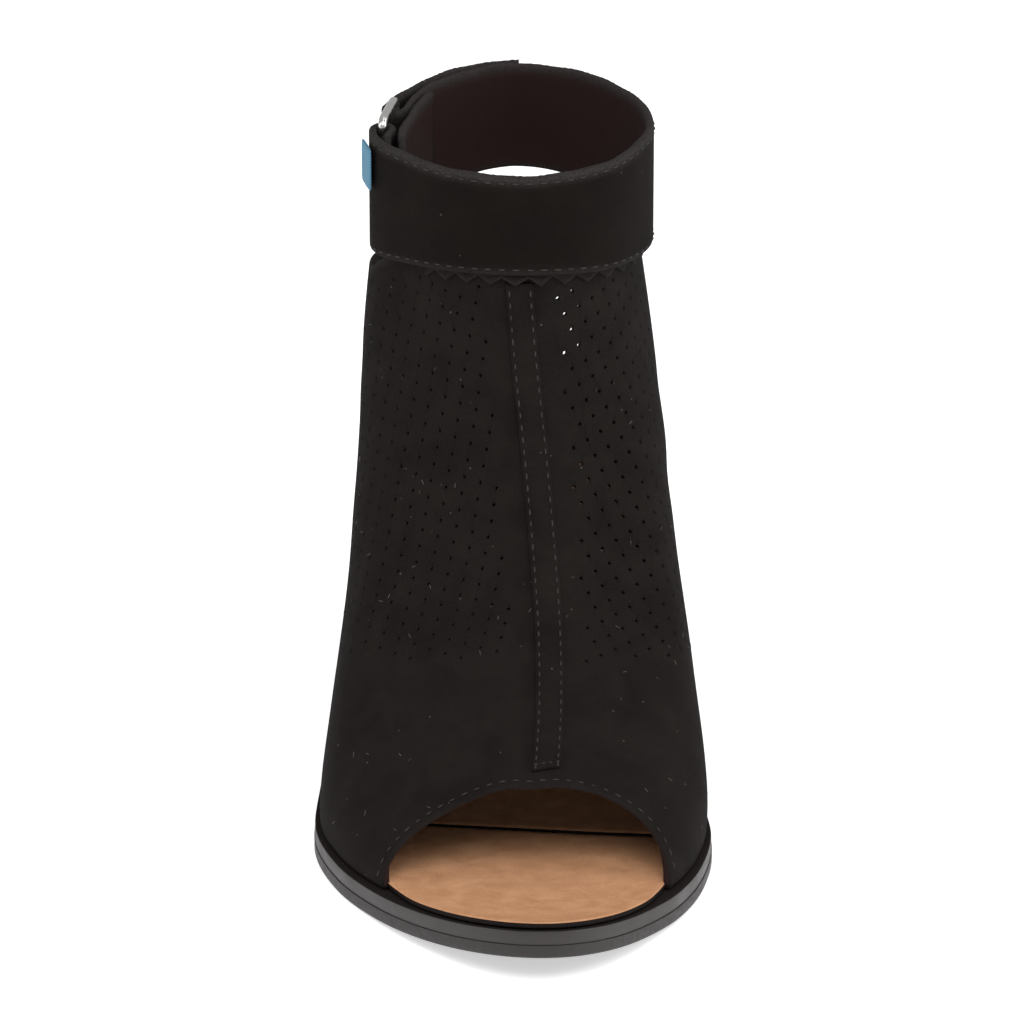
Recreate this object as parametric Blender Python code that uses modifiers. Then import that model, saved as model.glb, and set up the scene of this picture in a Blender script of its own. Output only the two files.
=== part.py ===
"""Right shoe: a black peep-toe sandal with a broad ankle strap, as separate named pieces.

Metres, Z up, toe towards -Y, inner side of the foot towards +X, standing on the floor at Z = 0.
"""

from math import acos, atan2, cos, degrees, pi, radians, sin

import bmesh
import bpy
from mathutils import Vector

# Main sizes of the shoe
LENGTH = 0.2255  # of the sole in plan
BALL_WIDTH = 0.0935
HEEL_HEIGHT = 0.042  # floor to the underside of the sole at the seat
TOE_SPRING = 0.007
ANKLE_BACK = 0.1635  # from the toe tip to the middle of the ankle
GAP = 0.0003  # between pieces that meet

# Sole, heel and insole
OUTSOLE = 0.0031
MIDSOLE = 0.0033
MIDSOLE_STEP = 0.0002  # the midsole's edge stands back by this much
EDGE_ROUND = 0.0006
LIFT_HEIGHT = 0.005
HEEL_TAPER = 0.0045
HEEL_INSET = 0.0012
HEEL_BREAST = 0.775  # share of the length where the heel starts
INSOLE = 0.0016
INSOLE_CLEARANCE = 0.0008  # from the upper's inside
INSOLE_JOINT_INNER = 0.296  # share of the length where the joint meets the inner edge
INSOLE_JOINT_OUTER = 0.346
INSOLE_JOINT_GAP = 0.0020

# Upper
WALL = 0.0018
COLLAR_DROP = 0.006  # collar edge below the top of the cuff
CORNER_BACK = 0.0375  # from the toe tip to the corners of the toe opening
OPENING_HEIGHT = 0.393  # share of the upper's height that the opening takes at its middle
OPENING_MIDDLE = radians(-1)  # turned to the inner side
INNER_FULLNESS = 3.0  # 2 is an ellipse, more is squarer
OUTER_FULLNESS = 2.35
PROFILE_LAG = radians(23)  # how far the upper's lines lean back between sole and collar
BAND_SHARE = 0.20  # height shares above 1 are the straight part inside the cuff

# Ankle cuff, its ring and trimmings
CUFF_WIDTH = 0.0675
CUFF_DEPTH = 0.0770
COLLAR_WIDTH = CUFF_WIDTH - 0.0066  # of the shaft's outside, under the cuff
COLLAR_DEPTH = CUFF_DEPTH - 0.0070
CUFF_TOP = 0.152  # at the front
CUFF_RISE = 0.0075  # higher at the back
CUFF_HEIGHT = 0.0245
CUFF_DIP = 0.0045  # deeper at the sides
CUFF_BACK_DIP = 0.0018  # and at the back
STRAP = 0.0019
WIRE = 0.0022
RING_HEADROOM = 0.0006
LAYER_GAP = 0.0004
TRIM = 0.0008
TRIM_ANGLES = (-42, 78)  # from the front, inner side positive
TOOTH_PITCH = 0.0060
TOOTH_DEPTH = 0.0021
STRIP_WIDTH = 0.0064
STRIP = 0.0007
STRIP_SIDE = 0.55  # share of the strip's thickness left at its sides
TAB_SIZE = (0.0011, 0.0100, 0.0100)
TAB_ANGLE = -75
TAB_BELOW_RIM = 0.0030

# Columns and rows of the faceted upper
OPENING_COLUMNS = 9
SIDE_COLUMNS = 25
UPPER_ROWS = 16


def table(columns, *rows):
    """The rows as one list for each named column."""
    return dict(zip(columns.split(), (list(column) for column in zip(*rows))))


# Sole outline from toe to heel: centre line and half width as shares of the ball width
FOOTPRINT = table(
    "along centre half",
    (0.000, 0.072, 0.000),
    (0.020, 0.067, 0.118),
    (0.060, 0.058, 0.212),
    (0.110, 0.047, 0.296),
    (0.170, 0.037, 0.378),
    (0.250, 0.020, 0.457),
    (0.340, 0.005, 0.498),
    (0.440, -0.008, 0.480),
    (0.550, -0.018, 0.425),
    (0.680, -0.012, 0.372),
    (0.800, -0.004, 0.350),
    (0.910, 0.000, 0.302),
    (0.975, 0.000, 0.178),
    (1.000, 0.000, 0.000),
)

# Underside of the sole behind the flat spot: height as a share of the heel height
ARCH = table(
    "along lift",
    (0.36, 0.000),
    (0.41, 0.025),
    (0.49, 0.150),
    (0.60, 0.500),
    (0.70, 0.810),
    (0.78, 0.950),
    (0.88, 1.000),
    (1.00, 1.020),
)
FLAT_START = 0.235

# Upper's lines from sole to cuff: inset of the foot from the sole's outline, rise from the sole, drop from the cuff,
# and swell low and high on the outer and the inner side
PROFILE = table(
    "along inset rise drop low_outer low_inner high_outer high_inner",
    (0.00, 0.0040, 0.010, 0.096, 0.0000, 0.0000, 0.0000, 0.0000),
    (0.12, 0.0026, 0.014, 0.090, 0.0015, 0.0015, 0.0000, 0.0000),
    (0.25, 0.0018, 0.020, 0.080, 0.0024, 0.0020, 0.0020, 0.0020),
    (0.38, 0.0014, 0.026, 0.062, 0.0010, 0.0048, 0.0034, 0.0055),
    (0.55, 0.0016, 0.028, 0.042, 0.0008, 0.0090, 0.0040, 0.0058),
    (0.75, 0.0020, 0.026, 0.030, 0.0024, 0.0055, 0.0046, 0.0045),
    (0.90, 0.0020, 0.022, 0.026, 0.0050, 0.0050, 0.0040, 0.0020),
    (1.00, 0.0020, 0.018, 0.026, 0.0060, 0.0060, 0.0000, 0.0000),
)

# Insole's edge in the open toe, inside the sole's outline
INSOLE_FRONT = table(
    "along inset",
    (0.000, 0.0011),
    (0.080, 0.0011),
    (0.115, 0.0016),
    (0.140, 0.0030),
)
INSOLE_MEETS_UPPER = 0.157  # share of the length where the insole's edge runs inside the upper

# How far the neck of the upper stands out beyond the collar where its outer side runs below the ring
NECK_FLARE = table(
    "angle flare",
    (58, 0.0000),
    (76, 0.0026),
    (100, 0.0030),
    (132, 0.0000),
)

# Upper's top edge: full under the cuff, then swept down to the heel counter
TOP_EDGE = table(
    "angle outer inner",
    (0, 1.200, 1.200),
    (30, 1.200, 1.200),
    (42, 1.200, 1.200),
    (48, 1.160, 1.200),
    (54, 1.070, 1.200),
    (60, 1.022, 1.200),
    (64, 1.010, 1.200),
    (68, 1.000, 1.200),
    (72, 0.990, 1.200),
    (76, 0.972, 1.200),
    (84, 0.965, 1.195),
    (98, 0.935, 1.080),
    (112, 0.840, 0.880),
    (130, 0.610, 0.610),
    (152, 0.420, 0.420),
    (180, 0.360, 0.360),
)

# Middle of the centre strip, by height share on the upper
STRIP_LINE = table(
    "height across",
    (0.42, 0.0080),
    (0.52, 0.0088),
    (0.62, 0.0086),
    (0.72, 0.0074),
    (0.82, 0.0056),
    (0.95, 0.0026),
    (0.993, 0.0018),
)

# The ankle's outline: how far it lies from a plain ellipse, by angle from the front, inner side positive
ANKLE_SHAPE = table(
    "angle share",
    (-180, 0.960),
    (-150, 0.915),
    (-120, 0.905),
    (-98, 0.955),
    (-76, 1.034),
    (-46, 0.975),
    (-20, 0.980),
    (0, 1.000),
    (22, 1.015),
    (42, 1.025),
    (62, 1.012),
    (85, 1.014),
    (102, 0.985),
    (122, 0.950),
    (142, 0.935),
    (160, 0.940),
    (180, 0.960),
)

# The cuff's ribbon from the ring's front bar round the front and back to the ring: how far it runs inside the
# cuff's outline, in layers of strap, by angle from the front with the inner side of the foot positive
CUFF_LINE = table(
    "angle layers",
    (-77, 0.00),
    (90, 0.00),
    (150, 0.00),
    (165, 0.15),
    (180, 0.50),
    (200, 0.85),
    (236, 1.35),
    (253, 2.02),
)
# The same for the strap's end, folded back outside
STRAP_END_LINE = table(
    "angle layers",
    (177, -0.60),
    (200, -0.25),
    (225, 0.00),
    (254, 0.00),
)
# The same for the underlay, a tongue of strap inside the cuff that keeps the ring off the ankle
UNDERLAY_LINE = table(
    "angle layers",
    (-124, 2.45),
    (-108, 3.00),
    (-92, 3.30),
    (-80, 3.10),
    (-73, 2.85),
    (-66, 2.40),
)
REAR_BAR = 258  # angles of the ring's two bars
FRONT_BAR = -80
RETURN_END = -69  # where the cuff's end, turned back round the front bar, stops


def smooth(keys, values, at):
    """A smooth curve through the values, held level past both ends."""
    last = len(keys) - 1
    steps = [(values[k + 1] - values[k]) / (keys[k + 1] - keys[k]) for k in range(last)]
    at = min(max(at, keys[0]), keys[last])
    k = max(i for i in range(last) if i == 0 or keys[i] <= at)

    def slope(i):
        if i == 0 or i == last:
            return steps[min(i, last - 1)]
        before, after = keys[i] - keys[i - 1], keys[i + 1] - keys[i]
        return (steps[i - 1] * after + steps[i] * before) / (before + after)

    span = keys[k + 1] - keys[k]
    t = (at - keys[k]) / span
    return (
        (2 * t**3 - 3 * t**2 + 1) * values[k]
        + (t**3 - 2 * t**2 + t) * span * slope(k)
        + (3 * t**2 - 2 * t**3) * values[k + 1]
        + (t**3 - t**2) * span * slope(k + 1)
    )


def turn_of(along):
    """The turn round the outline, 0 at the toe and pi at the heel, of a share of the length."""
    return acos(1 - 2 * along)


def mirrored(values, sign):
    """The values with two more at each end, so that a curve through them rounds the toe and the heel."""
    return [sign * v for v in values[2:0:-1]] + values + [sign * v for v in values[-2:-4:-1]]


TOE = -LENGTH / 2
ANKLE = TOE + ANKLE_BACK
TURNS = [turn_of(along) for along in FOOTPRINT["along"]]
OUTLINE_TURNS = [-t for t in TURNS[2:0:-1]] + TURNS + [2 * pi - t for t in TURNS[-2:-4:-1]]
OUTLINE_HALF = mirrored(FOOTPRINT["half"], -1)
OUTLINE_CENTRE = mirrored(FOOTPRINT["centre"], 1)
PROFILE_TURNS = [turn_of(along) for along in PROFILE["along"]]


def on_outline(turn):
    """A point of the sole's outline: turns 0 to pi run along the inner side, pi to 2 pi back along the outer."""
    turn %= 2 * pi
    side, from_toe = (1, turn) if turn <= pi else (-1, 2 * pi - turn)
    centre = smooth(OUTLINE_TURNS, OUTLINE_CENTRE, from_toe)
    half = smooth(OUTLINE_TURNS, OUTLINE_HALF, from_toe)
    return Vector((BALL_WIDTH * (centre + side * half), TOE + LENGTH * (1 - cos(from_toe)) / 2))


def outward(turn):
    """The outline's outward direction in plan."""
    step = on_outline(turn + 0.001) - on_outline(turn - 0.001)
    return Vector((step.y, -step.x)).normalized()


def inside_outline(turn, inset):
    return on_outline(turn) - outward(turn) * inset


def underside(y):
    """Height of the sole's underside: toe spring, flat spot, arch and seat."""
    along = (y - TOE) / LENGTH
    if along < FLAT_START:
        return TOE_SPRING * ((FLAT_START - along) / FLAT_START) ** 2
    return HEEL_HEIGHT * smooth(ARCH["along"], ARCH["lift"], along)


def midsole_top(y):
    return underside(y) + OUTSOLE + GAP + MIDSOLE


def cuff_top(y):
    return CUFF_TOP + CUFF_RISE * (0.5 + (y - ANKLE) / CUFF_DEPTH)


def cuff_bottom(x, y):
    side = min(abs(x) / (CUFF_WIDTH / 2), 1)
    back = 0.5 + (y - ANKLE) / CUFF_DEPTH
    return cuff_top(y) - CUFF_HEIGHT - CUFF_DIP * side**2 - CUFF_BACK_DIP * back


def round_ankle(width, depth, angle, inward=0.0):
    """A point on the outline round the ankle, and its outward direction. Angle 0 is the front."""

    def point(at):
        share = smooth(ANKLE_SHAPE["angle"], ANKLE_SHAPE["share"], (degrees(at) + 180) % 360 - 180)
        return Vector((width / 2 * sin(at) * share, ANKLE - depth / 2 * cos(at) * share))

    step = point(angle + 0.02) - point(angle - 0.02)
    direction = Vector((step.y, -step.x)).normalized()
    return point(angle) - direction * inward, direction


def upper_base(turn, height):
    """A point of the upper's outside, by the turn round the sole and the share of the height."""
    turn %= 2 * pi
    from_toe = min(turn, 2 * pi - turn)
    inner = 0.5 + 0.5 * sin(turn)

    def row(column):
        return smooth(PROFILE_TURNS, PROFILE[column], from_toe)

    low = row("low_outer") + (row("low_inner") - row("low_outer")) * inner
    high = row("high_outer") + (row("high_inner") - row("high_outer")) * inner
    foot = inside_outline(turn, row("inset"))
    foot_z = midsole_top(foot.y) + GAP
    angle = turn - PROFILE_LAG * sin(turn)
    flare = smooth(NECK_FLARE["angle"], NECK_FLARE["flare"], 360 - degrees(angle)) if turn > pi else 0
    neck, neck_out = round_ankle(COLLAR_WIDTH, COLLAR_DEPTH, angle, -flare)
    neck_z = cuff_bottom(neck.x, neck.y) - TRIM
    if height > 1:
        band = cuff_top(neck.y) - COLLAR_DROP - neck_z
        return Vector((*neck, neck_z + band * (height - 1) / BAND_SHARE))
    guides = (
        (1, Vector((*foot, foot_z))),
        (3, Vector((*(foot + outward(turn) * low), foot_z + row("rise")))),
        (3, Vector((*(neck + neck_out * high), neck_z - row("drop")))),
        (1, Vector((*neck, neck_z))),
    )
    return sum(
        (weight * height**k * (1 - height) ** (3 - k) * point for k, (weight, point) in enumerate(guides)),
        Vector((0, 0, 0)),
    )


def on_upper(turn, height, out=0.0):
    """The same point, moved out along the upper's normal."""
    point = upper_base(turn, height)
    if out == 0:
        return point
    low, high = max(height - 0.01, 0), min(height + 0.01, 1 + BAND_SHARE)
    across = upper_base(turn + 0.01, height) - upper_base(turn - 0.01, height)
    up = upper_base(turn, high) - upper_base(turn, low)
    return point + across.cross(up).normalized() * out


def turn_at_angle(angle):
    """The turn whose line reaches the cuff at this angle."""
    turn = angle
    for _ in range(30):
        turn = angle + PROFILE_LAG * sin(turn)
    return turn


def turn_at_width(height, x):
    """The turn near the toe where the upper is this far to the side."""
    low, high = -1.0, 1.0
    for _ in range(40):
        middle = (low + high) / 2
        if upper_base(middle, height).x < x:
            low = middle
        else:
            high = middle
    return (low + high) / 2


def collection(name, hidden=False):
    made = bpy.data.collections.new(name)
    bpy.context.scene.collection.children.link(made)
    made.hide_render = hidden
    return made


def material(name, colour, roughness, metallic=0.0):
    made = bpy.data.materials.new(name)
    made.use_nodes = True
    shader = made.node_tree.nodes["Principled BSDF"]
    shader.inputs["Base Color"].default_value = (*colour, 1)
    shader.inputs["Roughness"].default_value = roughness
    shader.inputs["Metallic"].default_value = metallic
    made.diffuse_color = (*colour, 1)
    return made


def swept(name, loops, closed, where, made_of):
    """A closed solid through the loops, each a ring of as many points as the next."""
    mesh = bmesh.new()
    rings = [[mesh.verts.new(point) for point in loop] for loop in loops]
    pairs = list(zip(rings, rings[1:] + rings[:1])) if closed else list(zip(rings, rings[1:]))
    for ring, following in pairs:
        for k in range(len(ring)):
            before = k - 1
            mesh.faces.new((ring[before], ring[k], following[k], following[before]))
    if not closed:
        mesh.faces.new(list(reversed(rings[0])))
        mesh.faces.new(rings[-1])
    bmesh.ops.remove_doubles(mesh, verts=mesh.verts, dist=1e-6)
    bmesh.ops.dissolve_degenerate(mesh, edges=mesh.edges, dist=1e-7)
    bmesh.ops.triangulate(mesh, faces=mesh.faces)
    if mesh.calc_volume(signed=True) < 0:
        bmesh.ops.reverse_faces(mesh, faces=mesh.faces)
    data = bpy.data.meshes.new(name)
    mesh.to_mesh(data)
    mesh.free()
    for face in data.polygons:
        face.use_smooth = True
    data.materials.append(made_of)
    made = bpy.data.objects.new(name, data)
    where.objects.link(made)
    return made


def sheet_loop(turns, insets, bottom, thickness, rounded):
    """One cross-section of a sole layer, from its outer edge to its inner edge and back over the top."""
    inner, outer = (lambda extra, t=t, i=i: inside_outline(t, i + extra) for t, i in zip(turns, insets))
    room = (on_outline(turns[0]) - on_outline(turns[1])).length
    edge = rounded * min(1, room / (20 * rounded))
    low = [(outer(edge), 0), (inner(edge), 0)]
    high = [(inner(edge), thickness), (outer(edge), thickness)]
    loop = [*low, (inner(0), edge), (inner(0), thickness - edge), *high]
    loop += [(outer(0), thickness - edge), (outer(0), edge)]
    return [Vector((p.x, p.y, bottom(p.y) + lift)) for p, lift in loop]


def sheet(name, turns, inset, bottom, thickness, rounded, where, made_of):
    """A sole layer through pairs of turns, one on the inner and one on the outer edge."""
    loops = []
    for pair in turns:
        insets = [inset(abs(turn)) if callable(inset) else inset for turn in pair]
        loops.append(sheet_loop(pair, insets, bottom, thickness, rounded))
    return swept(name, loops, False, where, made_of)


def spaced(start, end, count):
    return [start + (end - start) * k / count for k in range(count + 1)]


def whole_length(count):
    return [(turn, -turn) for turn in spaced(0, pi, count)]


def insole_inset(turn):
    """Inside the upper's wall, and closer to the edge at the open toe."""
    along = (1 - cos(turn)) / 2
    in_upper = smooth(PROFILE["along"], PROFILE["inset"], along) + WALL + INSOLE_CLEARANCE
    return smooth(INSOLE_FRONT["along"] + [INSOLE_MEETS_UPPER], INSOLE_FRONT["inset"] + [in_upper], along)


def add_sole(where, rubber, edge_rubber, suede, tan):
    sheet("outsole", whole_length(44), 0, underside, OUTSOLE, EDGE_ROUND, where, rubber)
    sheet(
        "midsole", whole_length(44), MIDSOLE_STEP, lambda y: underside(y) + OUTSOLE + GAP, MIDSOLE,
        EDGE_ROUND, where, edge_rubber,
    )
    joint_inner, joint_outer = turn_of(INSOLE_JOINT_INNER), turn_of(INSOLE_JOINT_OUTER)
    gap_turn = INSOLE_JOINT_GAP / (LENGTH / 2)
    front = [(joint_inner * s, -joint_outer * s) for s in spaced(0, 1, 24)]
    rear = [
        (joint_inner + gap_turn + (pi - joint_inner - gap_turn) * s,
         -joint_outer - gap_turn - (pi - joint_outer - gap_turn) * s)
        for s in spaced(0, 1, 26)
    ]
    on_midsole = lambda y: midsole_top(y) + GAP
    sheet("insole_forepart", front, insole_inset, on_midsole, INSOLE, EDGE_ROUND * 0.7, where, tan)
    sheet("insole_rear", rear, insole_inset, on_midsole, INSOLE, EDGE_ROUND * 0.7, where, tan)
    add_heel(where, suede, rubber)


def heel_loop(turn, levels):
    """One cross-section of the heel: its inner side going up, then its outer side going down."""
    inner, outer = [], []
    for share, height in levels:
        inset = HEEL_INSET + HEEL_TAPER * (1 - share) ** 1.5
        for side, points in ((turn, inner), (-turn, outer)):
            p = inside_outline(side, inset)
            points.append(Vector((p.x, p.y, height(p.y))))
    return inner + outer[::-1]


def add_heel(where, suede, rubber):
    turns = spaced(turn_of(HEEL_BREAST), pi, 16)
    block_bottom = LIFT_HEIGHT + GAP

    def block_level(share):
        return share, lambda y: block_bottom + (underside(y) - GAP - block_bottom) * share

    def lift_level(height):
        share = height / HEEL_HEIGHT
        return share, lambda y: height

    block = [block_level(share) for share in (0, 0.2, 0.45, 0.72, 1)]
    lift = [lift_level(height) for height in (0, LIFT_HEIGHT)]
    swept("heel_block", [heel_loop(t, block) for t in turns], False, where, suede)
    swept("heel_top_lift", [heel_loop(t, lift) for t in turns], False, where, rubber)


def upper_columns():
    """Turns of the upper's columns, closest together at the corners of the toe opening."""
    corner = turn_of(CORNER_BACK / LENGTH)
    steps = [sin(pi / 2 * k / OPENING_COLUMNS) for k in range(OPENING_COLUMNS)]
    inner = [OPENING_MIDDLE + (corner - OPENING_MIDDLE) * step for step in steps]
    outer = [OPENING_MIDDLE - (corner + OPENING_MIDDLE) * step for step in steps[1:]]
    return inner + spaced(corner, 2 * pi - corner, 2 * SIDE_COLUMNS) + [turn + 2 * pi for turn in outer[::-1]]


def opening_edge(turn):
    """Height share of the upper's lower edge, which arches over the toes."""
    corner = turn_of(CORNER_BACK / LENGTH)
    from_front = (turn + pi) % (2 * pi) - pi
    inner = from_front > OPENING_MIDDLE
    reach = corner - OPENING_MIDDLE if inner else corner + OPENING_MIDDLE
    fullness = INNER_FULLNESS if inner else OUTER_FULLNESS
    share = min(abs(from_front - OPENING_MIDDLE) / reach, 1)
    return OPENING_HEIGHT * (1 - share**fullness) ** (1 / fullness)


def top_edge(turn):
    """Height share of the upper's top edge: under the cuff in front, low on the heel counter."""
    turn %= 2 * pi
    angle = degrees(turn - PROFILE_LAG * sin(turn))
    side = "inner" if angle <= 180 else "outer"
    return smooth(TOP_EDGE["angle"], TOP_EDGE[side], min(angle, 360 - angle))


def add_upper(where, suede):
    loops = []
    for turn in upper_columns():
        heights = spaced(opening_edge(turn), top_edge(turn), UPPER_ROWS)
        outside = [on_upper(turn, height) for height in heights]
        inside = [on_upper(turn, height, -WALL) for height in heights]
        if heights[0] == 0:
            inside[0].z = midsole_top(inside[0].y) + GAP
        loops.append(outside + inside[::-1])
    swept("upper", loops, True, where, suede)


def add_centre_strip(where, suede):
    """The raised strip over the front seam, lying on the upper from the toe opening to the trim."""
    loops = []
    for height in spaced(STRIP_LINE["height"][0], STRIP_LINE["height"][-1], 18):
        middle = smooth(STRIP_LINE["height"], STRIP_LINE["across"], height)
        across = [(share, turn_at_width(height, middle + STRIP_WIDTH * share)) for share in (-0.5, -0.4, 0, 0.4, 0.5)]
        under = [on_upper(turn, height, GAP) for _, turn in across]
        rises = [GAP + STRIP * (STRIP_SIDE if abs(share) == 0.5 else 1) for share, _ in across]
        over = [on_upper(turn, height, rise) for (_, turn), rise in zip(across, rises)]
        loops.append(under + over[::-1])
    swept("centre_strip", loops, False, where, suede)


def over_strip(x):
    """How far the trim's foot is raised where the centre strip runs under it."""
    beside = abs(x - STRIP_LINE["across"][-1]) / STRIP_WIDTH
    return (STRIP + GAP) * smooth([0, 0.6, 1.1], [1, 1, 0], beside)


def add_trim(where, suede):
    """The zigzag edge that shows under the cuff."""
    first, last = map(radians, TRIM_ANGLES)
    teeth = round((last - first) * (COLLAR_WIDTH + COLLAR_DEPTH) / 4 / TOOTH_PITCH)
    loops = []
    for k, angle in enumerate(spaced(first, last, 2 * teeth)):
        turn = turn_at_angle(angle)
        neck = upper_base(turn, 1)
        line = (upper_base(turn, 0.99) - neck).length / 0.01
        valley = 1 - (GAP / line)
        foot = valley - TOOTH_DEPTH / line if k % 2 == 0 else valley
        heights = (foot, (foot + 1 + BAND_SHARE * 0.1) / 2, 1 + BAND_SHARE * 0.1)
        rises = (GAP + over_strip(neck.x), GAP, GAP)
        under = [on_upper(turn, height, rise) for height, rise in zip(heights, rises)]
        over = [on_upper(turn, height, rise + TRIM) for height, rise in zip(heights, rises)]
        loops.append(under + over[::-1])
    swept("pinked_trim", loops, False, where, suede)


def ribbon(name, path, thickness, rounded, where, made_of):
    """A strap standing on edge along a path in plan, between the cuff's bottom and top."""
    loops = []
    for k, point in enumerate(path):
        step = path[min(k + 1, len(path) - 1)] - path[max(k - 1, 0)]
        side = Vector((step.y, -step.x)).normalized()
        low, high = cuff_bottom(point.x, point.y), cuff_top(point.y)
        corners = ((-0.5, rounded), (-0.25, 0), (0.25, 0), (0.5, rounded))
        up = [(share, low + back) for share, back in corners]
        down = [(share, high - back) for share, back in reversed(corners)]
        loops.append([Vector((*(point + side * thickness * share), z)) for share, z in up + down])
    return swept(name, loops, False, where, made_of)


def cuff_point(angle, inward):
    """A point inside the cuff's outline, measured to the middle of its strap."""
    return round_ankle(CUFF_WIDTH, CUFF_DEPTH, radians(angle), STRAP / 2 + inward)[0]


def fold(centre, start, radius, steps=8):
    """Half a turn round a bar in plan, clockwise from the start direction."""
    first = atan2(start.y, start.x)
    turns = [first - pi * k / steps for k in range(steps + 1)]
    return [centre + radius * Vector((cos(turn), sin(turn))) for turn in turns]


def bar(angle):
    """Middle of a ring bar, and the outward direction there."""
    inward = STRAP + GAP + WIRE / 2
    return round_ankle(CUFF_WIDTH, CUFF_DEPTH, radians(angle), inward)


def along_cuff(line, start, end, count):
    """Points along one of the strap's tables."""
    layer = STRAP + LAYER_GAP
    return [
        cuff_point(angle, layer * smooth(line["angle"], line["layers"], angle))
        for angle in spaced(start, end, count)
    ]


def add_cuff(where, suede):
    """One ribbon: turned back round the ring's front bar, front, inner side, back, and folded at the rear bar."""
    radius = WIRE / 2 + GAP + STRAP / 2
    front, outward_front = bar(FRONT_BAR)
    rear, outward_rear = bar(REAR_BAR)
    returned = [
        cuff_point(angle, STRAP + GAP + (WIRE + GAP) * smooth([0, 0.5, 1], [0, 0.5, 1], near_bar))
        for near_bar, angle in zip(spaced(0, 1, 8), spaced(RETURN_END, FRONT_BAR + 1, 8))
    ]
    path = returned + fold(front, outward_front, radius)[::-1]
    path += along_cuff(CUFF_LINE, CUFF_LINE["angle"][0], CUFF_LINE["angle"][-1], 76)
    path += fold(rear, -outward_rear, radius)
    path += along_cuff(STRAP_END_LINE, STRAP_END_LINE["angle"][-1], STRAP_END_LINE["angle"][0], 20)
    ribbon("ankle_cuff", path, STRAP, EDGE_ROUND, where, suede)
    tongue = along_cuff(UNDERLAY_LINE, UNDERLAY_LINE["angle"][0], UNDERLAY_LINE["angle"][-1], 24)
    ribbon("underlay", tongue, STRAP, EDGE_ROUND, where, suede)


def add_ring(where, metal):
    """The ring, a rounded oblong of wire standing between the cuff's two folds."""
    centre, _ = bar(FRONT_BAR)
    rear, _ = bar(REAR_BAR)
    clear = RING_HEADROOM + WIRE / 2
    cut = clear - GAP
    bend = (rear - centre).normalized() * cut
    high, high_rear = cuff_top(centre.y) + clear, cuff_top(rear.y) + clear
    low, low_rear = cuff_bottom(centre.x, centre.y) - clear, cuff_bottom(rear.x, rear.y) - clear
    corners = [
        (centre, high - cut), (centre + bend, high), (rear - bend, high_rear), (rear, high_rear - cut),
        (rear, low_rear + cut), (rear - bend, low_rear), (centre + bend, low), (centre, low + cut),
    ]
    data = bpy.data.curves.new("ring", "CURVE")
    data.dimensions = "3D"
    data.bevel_depth = WIRE / 2
    data.bevel_resolution = 2
    spline = data.splines.new("POLY")
    spline.points.add(len(corners) - 1)
    for point, (place, z) in zip(spline.points, corners):
        point.co = (*place, z, 1)
    spline.use_cyclic_u = True
    data.materials.append(metal)
    where.objects.link(bpy.data.objects.new("ring", data))


def add_tab(where, woven):
    """A small plain woven tab against the outer side of the cuff."""
    point, direction = round_ankle(CUFF_WIDTH, CUFF_DEPTH, radians(TAB_ANGLE), -GAP - TAB_SIZE[0] / 2)
    bpy.ops.mesh.primitive_cube_add(size=1)
    made = bpy.context.object
    made.name = "tab"
    made.scale = TAB_SIZE
    made.rotation_euler.z = atan2(direction.y, direction.x)
    made.location = (*point, cuff_top(point.y) - TAB_BELOW_RIM - TAB_SIZE[2] / 2)
    bpy.ops.object.transform_apply(location=True, rotation=True, scale=True)
    bevel = made.modifiers.new("softened edge", "BEVEL")
    bevel.width = TAB_SIZE[0] * 0.3
    bevel.segments = 2
    made.data.materials.append(woven)
    for found in list(made.users_collection):
        found.objects.unlink(made)
    where.objects.link(made)


def main():
    for left in list(bpy.data.objects):
        bpy.data.objects.remove(left)
    shoe = collection("peep_toe_sandal")
    suede = material("black suede", (0.012, 0.011, 0.011), 0.95)
    tan = material("tan suede", (0.42, 0.26, 0.15), 0.9)
    rubber = material("outsole rubber", (0.020, 0.018, 0.018), 0.6)
    edge_rubber = material("midsole rubber", (0.024, 0.022, 0.022), 0.4)
    metal = material("silver metal", (0.75, 0.75, 0.76), 0.2, metallic=1.0)
    woven = material("woven tab", (0.10, 0.20, 0.30), 0.8)
    add_sole(shoe, rubber, edge_rubber, suede, tan)
    add_upper(shoe, suede)
    add_centre_strip(shoe, suede)
    add_trim(shoe, suede)
    add_cuff(shoe, suede)
    add_ring(shoe, metal)
    add_tab(shoe, woven)


main()
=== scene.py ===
# %% [markdown]
# # A black suede sandal with a peep toe and an ankle strap
# The imported CAD part fixes every size and place. This script gives the same pieces the looks of the real shoe:
# suede nap, pinholes, stitches, folded edges, a tan insole, a dark layered sole edge and a silver ring.
# First the part is loaded, and its meshes are moved into world space.

from math import acos, cos, degrees, pi, radians, sin

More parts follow.
